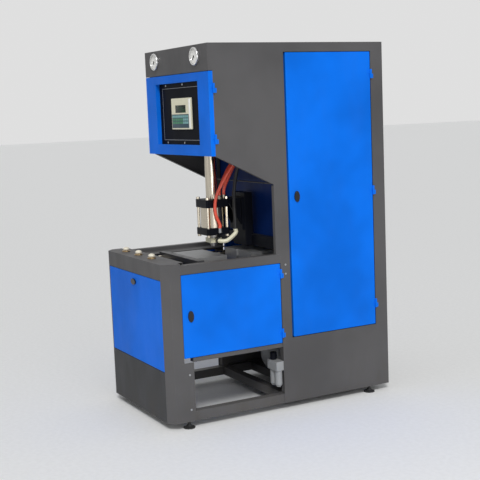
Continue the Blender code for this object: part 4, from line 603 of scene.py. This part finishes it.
def piece(name, bm, material, body, sharp=35):
    """Turns mesh work into a piece with smooth faces and sharp edges, riding on a body."""
    bmesh.ops.recalc_face_normals(bm, faces=bm.faces)
    limit = math.radians(sharp)
    for edge in bm.edges:
        edge.smooth = len(edge.link_faces) == 2 and edge.calc_face_angle(0) < limit
    for face in bm.faces:
        face.smooth = True
    mesh = bpy.data.meshes.new(name)
    bm.to_mesh(mesh)
    bm.free()
    obj = bpy.data.objects.new(name, mesh)
    bpy.context.scene.collection.objects.link(obj)
    mesh.materials.append(material)
    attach(obj, body)
    return obj


def add_turned(bm, profile, place, axis=(0, 0, 1), steps=FINE_STEPS, closed=False):
    """Adds a profile of (radius, height) turned about an axis through a place."""
    turn = Vector(axis).to_track_quat("Z", "Y").to_matrix().to_4x4()
    matrix = Matrix.Translation(place) @ turn
    rings = []
    for radius, height in profile:
        if radius < 1e-7:
            rings.append([bm.verts.new(matrix @ Vector((0, 0, height)))] * steps)
            continue
        angles = (2 * math.pi * step / steps for step in range(steps))
        rings.append(
            [
                bm.verts.new(matrix @ Vector((radius * math.cos(a), radius * math.sin(a), height)))
                for a in angles
            ]
        )
    pairs = list(zip(rings, rings[1:]))
    if closed:
        pairs.append((rings[-1], rings[0]))
    for low, high in pairs:
        for step in range(steps):
            after = (step + 1) % steps
            corners = []
            for vert in (low[step], low[after], high[after], high[step]):
                if vert not in corners:
                    corners.append(vert)
            if len(corners) > 2:
                bm.faces.new(corners)


def add_block(bm, low, high, bevel=0.0, segments=2):
    """Adds a box, with rounded edges where a bevel is given."""
    centre = (Vector(low) + Vector(high)) / 2
    size = Vector(high) - Vector(low)
    matrix = Matrix.Translation(centre) @ Matrix.Diagonal((*size, 1))
    made = bmesh.ops.create_cube(bm, size=1, matrix=matrix)["verts"]
    if bevel:
        edges = {edge for vert in made for edge in vert.link_edges}
        bmesh.ops.bevel(
            bm, geom=list(edges), offset=bevel, segments=segments, profile=0.6, affect="EDGES"
        )


def smooth_route(points, steps=10):
    """Points of a smooth curve through the given ones, straight at both ends."""
    knots = [Vector(point) for point in points]
    first, last = knots[0], knots[-1]
    knots[0] = first.lerp(knots[1], 0.15)
    knots[-1] = last.lerp(knots[-2], 0.15)
    knots = [2 * knots[0] - knots[1], *knots, 2 * knots[-1] - knots[-2]]
    route = [first]
    for a, b, c, d in zip(knots, knots[1:], knots[2:], knots[3:]):
        for step in range(steps):
            t = step / steps
            pull = (2 * a - 5 * b + 4 * c - d) * t + (3 * b - a - 3 * c + d) * t * t
            route.append(b + ((c - a) + pull) * t / 2)
    return [*route, knots[-2], last]


def curve_along(name, route, radius):
    """A round tube along a route, still as a curve."""
    data = bpy.data.curves.new(name, "CURVE")
    data.dimensions = "3D"
    data.bevel_depth = radius
    data.bevel_resolution = 6
    data.use_fill_caps = True
    spline = data.splines.new("POLY")
    spline.points.add(len(route) - 1)
    for point, place in zip(spline.points, route):
        point.co = (*place, 1)
    spline.use_smooth = True
    tube = bpy.data.objects.new(name, data)
    bpy.context.scene.collection.objects.link(tube)
    return tube


def as_mesh(obj):
    """The evaluated mesh of a curve or text object, which is then removed."""
    graph = bpy.context.evaluated_depsgraph_get()
    mesh = bpy.data.meshes.new_from_object(obj.evaluated_get(graph))
    bpy.data.objects.remove(obj)
    return mesh


def build_hoses():
    """The four hoses, each a smooth tube along its own route, end to end."""
    for name, points in HOSES.items():
        black_hose = name == "blow_hose"
        radius = BLOW_HOSE_RADIUS if black_hose else RED_HOSE_RADIUS
        route = smooth_route(points)
        tube = curve_along(f"{name}_tube", route, radius)
        if black_hose:
            tube = bpy.data.objects.new(f"{name}_tube", as_mesh(tube))
            bpy.context.scene.collection.objects.link(tube)
        tube.data.materials.append(plain(f"{name}_skin", rubber if black_hose else red))
        if black_hose:
            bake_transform(tube)
        else:
            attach(tube, "frame")
        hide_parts(name)


def build_cylinders():
    """The bright seal and stretch cylinders, round and with eased ends."""
    # The cylinders' chrome carries the warm tint that is painted reflection
    shine = plain("cylinder_chrome_painted_reflection", chrome)
    low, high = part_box("seal_cylinder")
    radius = high[0]
    bore = radius - SEAL_WALL
    ring = [
        (bore, low[2]),
        (radius - EASE, low[2]),
        (radius, low[2] + EASE),
        (radius, high[2] - EASE),
        (radius - EASE, high[2]),
        (bore, high[2]),
    ]
    bm = bmesh.new()
    add_turned(bm, ring, (0, BLOW_Y, 0), closed=True)
    tube = piece("seal_cylinder_tube", bm, shine, "frame")
    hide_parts("seal_cylinder")

    low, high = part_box("stretch_cylinder")
    cap = high[0]
    radius = cap - STRETCH_LIP
    bore = radius - STRETCH_WALL
    step = high[2] - STRETCH_CAP
    bore_end = high[2] - STRETCH_CAP / 2
    profile = [
        (0, high[2]),
        (cap - EASE, high[2]),
        (cap, high[2] - EASE),
        (cap, step + EASE),
        (cap - EASE, step),
        (radius, step),
        (radius, low[2] + EASE),
        (radius - EASE, low[2]),
        (bore, low[2]),
        (bore, bore_end),
        (0, bore_end),
    ]
    bm = bmesh.new()
    add_turned(bm, profile, (0, BLOW_Y, 0))
    tube = piece("stretch_cylinder_tube", bm, shine, "frame")
    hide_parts("stretch_cylinder")


def dial_face(name, centre_x):
    """A white gauge dial with fine and bold marks round three quarters of it."""
    tree = Tree(name)
    dx = tree.math("SUBTRACT", tree.axis(0), centre_x)
    dz = tree.math("SUBTRACT", tree.axis(2), GAUGE_Z)
    radius = tree.math(
        "SQRT", tree.math("ADD", tree.math("MULTIPLY", dx, dx), tree.math("MULTIPLY", dz, dz))
    )
    turn = tree.math("DIVIDE", tree.math("ARCTAN2", dx, dz), DIAL_SWEEP)

    def marks(count, width, inner, outer):
        place = tree.math("MULTIPLY", tree.math("ADD", turn, 0.5), count)
        off = tree.math("ABSOLUTE", tree.math("SUBTRACT", place, tree.math("ROUND", place)))
        arc = tree.math("MULTIPLY", off, tree.math("MULTIPLY", radius, DIAL_SWEEP / count))
        line = tree.math("LESS_THAN", arc, width)
        band = tree.math(
            "MULTIPLY",
            tree.math("GREATER_THAN", radius, inner),
            tree.math("LESS_THAN", radius, outer),
        )
        return tree.math("MULTIPLY", line, band)

    scale = tree.math("LESS_THAN", tree.math("ABSOLUTE", turn), 0.503)
    fine = marks(50, 0.0002, 0.0345, 0.0375)
    bold = marks(10, 0.0004, 0.0325, 0.0378)
    ink = tree.math("MULTIPLY", tree.math("MAXIMUM", fine, bold), scale)
    cloud = tree.spread(tree.noise(30.0, 3.0), 0.3, 0.7)
    paper = tree.mix(cloud, (0.80, 0.79, 0.75), (0.86, 0.85, 0.82))
    shader = tree.node(
        "ShaderNodeBsdfPrincipled",
        {"Base Color": tree.mix(ink, paper, (0.02, 0.02, 0.02)), "Roughness": 0.32},
    )
    return tree.finish(shader.outputs[0])


def add_number(bm, text, place, size):
    """Adds a printed number that faces the operator."""
    data = bpy.data.curves.new("number", "FONT")
    data.body = text
    data.size = size
    data.align_x = "CENTER"
    data.align_y = "CENTER"
    data.extrude = PRINT
    data.resolution_u = 3
    helper = bpy.data.objects.new("number", data)
    bpy.context.scene.collection.objects.link(helper)
    mesh = as_mesh(helper)
    mesh.transform(Matrix.Translation(place) @ Matrix.Rotation(math.radians(90), 4, "X"))
    bm.from_mesh(mesh)


def gauge_case_profile(rim, proud):
    """The bezel, from the dial's edge over the rim to the body and its stud."""
    return [
        (WINDOW_RADIUS, DIAL_HEIGHT - 0.0004),
        (WINDOW_RADIUS, proud - 0.0006),
        (WINDOW_RADIUS + 0.0008, proud),
        (rim - 0.0030, proud),
        (rim - 0.0008, proud - 0.0018),
        (rim, proud - 0.0040),
        (rim, 0.0010),
        (rim - 0.0006, SEAT),
        (GAUGE_BODY, SEAT),
        (GAUGE_BODY, GAUGE_BODY_END + 0.0010),
        (GAUGE_BODY - 0.0010, GAUGE_BODY_END),
        (GAUGE_STUD, GAUGE_BODY_END),
        (GAUGE_STUD, GAUGE_STUD_END),
        (0.0, GAUGE_STUD_END),
    ]


def build_gauges():
    """The two pressure gauges: a bright bezel and case, a white dial and its numbers."""
    bezel = plain("gauge_bezel", bezel_metal)
    ink = plain_moulded("gauge_ink", (0.015, 0.015, 0.015), 0.5)
    dial_back = DIAL_HEIGHT - DIAL_THICKNESS
    disc = [
        (0, DIAL_HEIGHT),
        (DIAL_RADIUS - DIAL_EDGE, DIAL_HEIGHT),
        (DIAL_RADIUS, DIAL_HEIGHT - DIAL_EDGE),
        (DIAL_RADIUS, dial_back),
        (0, dial_back),
    ]
    hub = [
        (HUB_RADIUS, DIAL_HEIGHT - 0.0002),
        (HUB_RADIUS, DIAL_HEIGHT + 0.0018),
        (0, DIAL_HEIGHT + 0.0024),
    ]
    forward = (0, -1, 0)
    for name, side in (("left", -1), ("right", 1)):
        x = side * GAUGE_X
        low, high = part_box(f"gauge_{name}")
        centre = (x, FACE_Y, GAUGE_Z)
        bm = bmesh.new()
        case = gauge_case_profile((high[0] - low[0]) / 2, FACE_Y - low[1])
        add_turned(bm, case, centre, forward)
        shell = piece(f"gauge_{name}_case", bm, bezel, "frame")
        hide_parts(f"gauge_{name}")
        bm = bmesh.new()
        add_turned(bm, disc, centre, forward)
        add_turned(bm, hub, centre, forward, HUB_STEPS)
        plate = piece(f"gauge_{name}_dial", bm, dial_face(f"gauge_{name}_face", x), "frame")
        bm = bmesh.new()
        y = FACE_Y - DIAL_HEIGHT - 2 * PRINT
        for number in range(DIAL_NUMBERS):
            turn = DIAL_START - DIAL_SWEEP * number / (DIAL_NUMBERS - 1)
            across, up = NUMBER_REACH * math.cos(turn), NUMBER_REACH * math.sin(turn)
            add_number(bm, str(number), (x + across, y, GAUGE_Z + up), NUMBER_SIZE)
        numbers = piece(f"gauge_{name}_numbers", bm, ink, "frame")


def screen_glass():
    """A dark screen with faint rows of dots that form no words."""
    tree = Tree("screen_glass")
    rows = tree.math("FRACT", tree.math("MULTIPLY", tree.axis(2), 95.0))
    cells = tree.math("FRACT", tree.math("MULTIPLY", tree.axis(0), 160.0))
    dots = tree.math(
        "MULTIPLY", tree.math("LESS_THAN", rows, 0.45), tree.math("LESS_THAN", cells, 0.7)
    )
    patch = tree.math("MULTIPLY", dots, tree.spread(tree.noise(36.0, 1.0), 0.50, 0.54))
    colour = tree.mix(tree.math("MULTIPLY", patch, 0.6), (0.006, 0.014, 0.008), (0.03, 0.14, 0.06))
    shader = tree.node(
        "ShaderNodeBsdfPrincipled",
        {"Base Color": colour, "Roughness": 0.2, "Specular IOR Level": 0.12},
    )
    return tree.finish(shader.outputs[0])


def build_display():
    """The operator unit's screen, keys and bright side strip."""
    low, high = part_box("display_unit")
    left, front, bottom = low
    right, top = high[0], high[2]
    floor = front + SCREEN_RECESS
    screen_left = (left + right) / 2 + SCREEN_SHIFT - SCREEN_WIDTH / 2
    screen_right = screen_left + SCREEN_WIDTH
    screen_top = top - SCREEN_DROP
    bm = bmesh.new()
    add_block(
        bm,
        (screen_left + SCREEN_GAP, floor - 0.0012, screen_top - SCREEN_HEIGHT + SCREEN_GAP),
        (screen_right - SCREEN_GAP, floor - 0.0001, screen_top - SCREEN_GAP),
        0.0004,
    )
    screen = piece("display_screen", bm, screen_glass(), "frame")

    pad_left, pad_right = left + 0.007, right - 0.026
    pad_low, pad_high = bottom + 0.008, screen_top - 0.0495
    tones = (
        ("green", (0.04, 0.20, 0.10)),
        ("teal", (0.16, 0.36, 0.36)),
        ("dark", (0.008, 0.045, 0.070)),
    )
    pads = {tone: bmesh.new() for tone, _ in tones}
    pad_from = (pad_left, front - 0.0007, pad_low)
    pad_to = (pad_right, front + 0.0006, pad_high)
    add_block(pads["dark"], pad_from, pad_to, KEY_BEVEL)
    wide = (pad_right - pad_left - 2 * KEY_MARGIN) / KEY_COLUMNS
    tall = (pad_high - pad_low - 2 * KEY_MARGIN) / KEY_ROWS
    # The lowest row of the pad has no keys
    for row in range(1, KEY_ROWS):
        for column in range(KEY_COLUMNS):
            tone = "teal" if column >= KEY_TEAL_COLUMN or row == KEY_TEAL_ROW else "green"
            x = pad_left + KEY_MARGIN + wide * column
            z = pad_low + KEY_MARGIN + tall * row
            add_block(
                pads[tone],
                (x + KEY_GAP[0], front - 0.0016, z + KEY_GAP[1]),
                (x + wide - KEY_GAP[0], front - 0.0004, z + tall - KEY_GAP[1]),
                KEY_BEVEL,
            )
    for tone, colour in tones:
        skin = plain_moulded(f"key_{tone}", colour, 0.40, grain=200.0, relief=0.04)
        pad = piece(f"display_keys_{tone}", pads[tone], skin, "frame")

    bm = bmesh.new()
    strip_from = (right - 0.022, front - 0.0006, bottom + 0.006)
    strip_to = (right - 0.004, front + 0.001, top - 0.006)
    add_block(bm, strip_from, strip_to, 0.0005)
    pale = plain_moulded(
        "pale_trim", (0.93, 0.93, 0.90), 0.30, grain=200.0, relief=0.03, handled=0.05
    )
    strip = piece("display_strip", bm, pale, "frame")


def build_border():
    """The thin line printed round the black panel, on its sheet behind the screw heads."""
    panel = NODES["display_panel"].data
    face = sorted({round(vert.co.y, 4) for vert in panel.vertices})[1]
    left, right = BORDER_X
    low, high = BORDER_Z
    line = BORDER_LINE
    bm = bmesh.new()
    for x_from, z_from, x_to, z_to in (
        (left, low, right, low + line),
        (left, high - line, right, high),
        (left, low + line, left + line, high - line),
        (right - line, low + line, right, high - line),
    ):
        add_block(bm, (x_from, face - 0.0004, z_from), (x_to, face + 0.0001, z_to))
    skin = plain_moulded("border_print", (0.30, 0.31, 0.33), 0.45, grain=200.0, relief=0.03)
    border = piece("panel_border", bm, skin, "frame")


def build_buttons():
    """Round mushroom heads over the three buttons."""
    skin = plain_moulded("button_cap", (0.78, 0.73, 0.60), 0.24, relief=0.03)
    under = TABLE_TOP + COLLAR_RING_HEIGHT + BUTTON_TRAVEL + SEAT
    rim = under + BUTTON_RIM
    for name in ("left", "middle", "right"):
        low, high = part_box(f"button_{name}")
        radius = (high[0] - low[0]) / 2
        centre = ((low[0] + high[0]) / 2, (low[1] + high[1]) / 2, 0)
        dome = [
            (radius * math.sin(turn), rim + (high[2] - rim) * math.cos(turn))
            for turn in (math.pi / 2 * step / DOME_STEPS for step in range(DOME_STEPS + 1))
        ]
        profile = [
            *dome,
            (radius, under + BUTTON_EDGE),
            (radius - BUTTON_EDGE, under),
            (BUTTON_STEM, under),
            (BUTTON_STEM, low[2]),
            (0, low[2]),
        ]
        bm = bmesh.new()
        add_turned(bm, profile, centre, steps=BUTTON_STEPS)
        cap = piece(f"button_{name}_cap", bm, skin, f"button_{name}")
        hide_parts(f"button_{name}")


def build_floor():
    """A plain pale floor."""
    bm = bmesh.new()
    bmesh.ops.create_grid(bm, x_segments=1, y_segments=1, size=FLOOR_HALF)
    mesh = bpy.data.meshes.new("floor")
    bm.to_mesh(mesh)
    bm.free()
    floor = bpy.data.objects.new("floor", mesh)
    bpy.context.scene.collection.objects.link(floor)
    tree = Tree("pale_floor")
    speck = tree.noise(40.0, 5.0)
    colour = tree.mix(tree.spread(speck, 0.3, 0.7), (0.88, 0.88, 0.87), (0.92, 0.92, 0.91))
    shader = tree.node("ShaderNodeBsdfPrincipled", {"Base Color": colour, "Roughness": 0.8})
    mesh.materials.append(tree.finish(shader.outputs[0]))


def build_world():
    """Soft light from all round, behind a pale backdrop that the camera and the gloss see."""
    world = bpy.data.worlds.new("studio")
    world.use_nodes = True
    nodes, links = world.node_tree.nodes, world.node_tree.links
    nodes.clear()
    output = nodes.new("ShaderNodeOutputWorld")
    ambient = nodes.new("ShaderNodeBackground")
    ambient.inputs["Color"].default_value = AMBIENT_COLOUR
    ambient.inputs["Strength"].default_value = AMBIENT_STRENGTH
    seen = nodes.new("ShaderNodeBackground")
    seen.inputs["Color"].default_value = SEEN_COLOUR
    path = nodes.new("ShaderNodeLightPath")
    shown = path.outputs["Is Camera Ray"]
    for ray in ("Is Glossy Ray", "Is Transmission Ray"):
        either = nodes.new("ShaderNodeMath")
        either.operation = "MAXIMUM"
        links.new(shown, either.inputs[0])
        links.new(path.outputs[ray], either.inputs[1])
        shown = either.outputs[0]
    mix = nodes.new("ShaderNodeMixShader")
    links.new(shown, mix.inputs[0])
    links.new(ambient.outputs[0], mix.inputs[1])
    links.new(seen.outputs[0], mix.inputs[2])
    links.new(mix.outputs[0], output.inputs[0])
    bpy.context.scene.world = world


def aimed(direction):
    """The turn of a lamp that shines along a direction."""
    return direction.to_track_quat("-Z", "Y").to_matrix().to_4x4()


def add_lamp(name, place, target, size, power):
    """Adds a soft rectangular lamp that shines from a place at a target."""
    data = bpy.data.lights.new(name, "AREA")
    data.shape = "RECTANGLE"
    data.size, data.size_y = size
    data.energy = power
    lamp = bpy.data.objects.new(name, data)
    lamp.matrix_world = Matrix.Translation(place) @ aimed(Vector(target) - Vector(place))
    bpy.context.scene.collection.objects.link(lamp)


def build_lamps():
    """A soft key from the right, a weak fill from the front and a window-like lamp."""
    sun = bpy.data.lights.new("key", "SUN")
    sun.angle = KEY_ANGLE
    sun.energy = KEY_STRENGTH
    lamp = bpy.data.objects.new("key", sun)
    lamp.matrix_world = aimed(-KEY_FROM)
    bpy.context.scene.collection.objects.link(lamp)
    add_lamp("fill", (1.0, -5.0, 2.4), (0, -0.2, 1.0), (2.5, 2.5), 10)
    add_lamp("window", (4.5, -0.9, 1.7), (0, -0.2, 1.2), (2.0, 2.2), 40)


def main():
    bpy.context.scene.view_settings.view_transform = "Standard"
    place_camera()
    build_hoses()
    build_floor()
    build_world()
    build_lamps()
    paint_nodes()
    build_cylinders()
    build_gauges()
    build_display()
    build_border()
    build_buttons()


main()
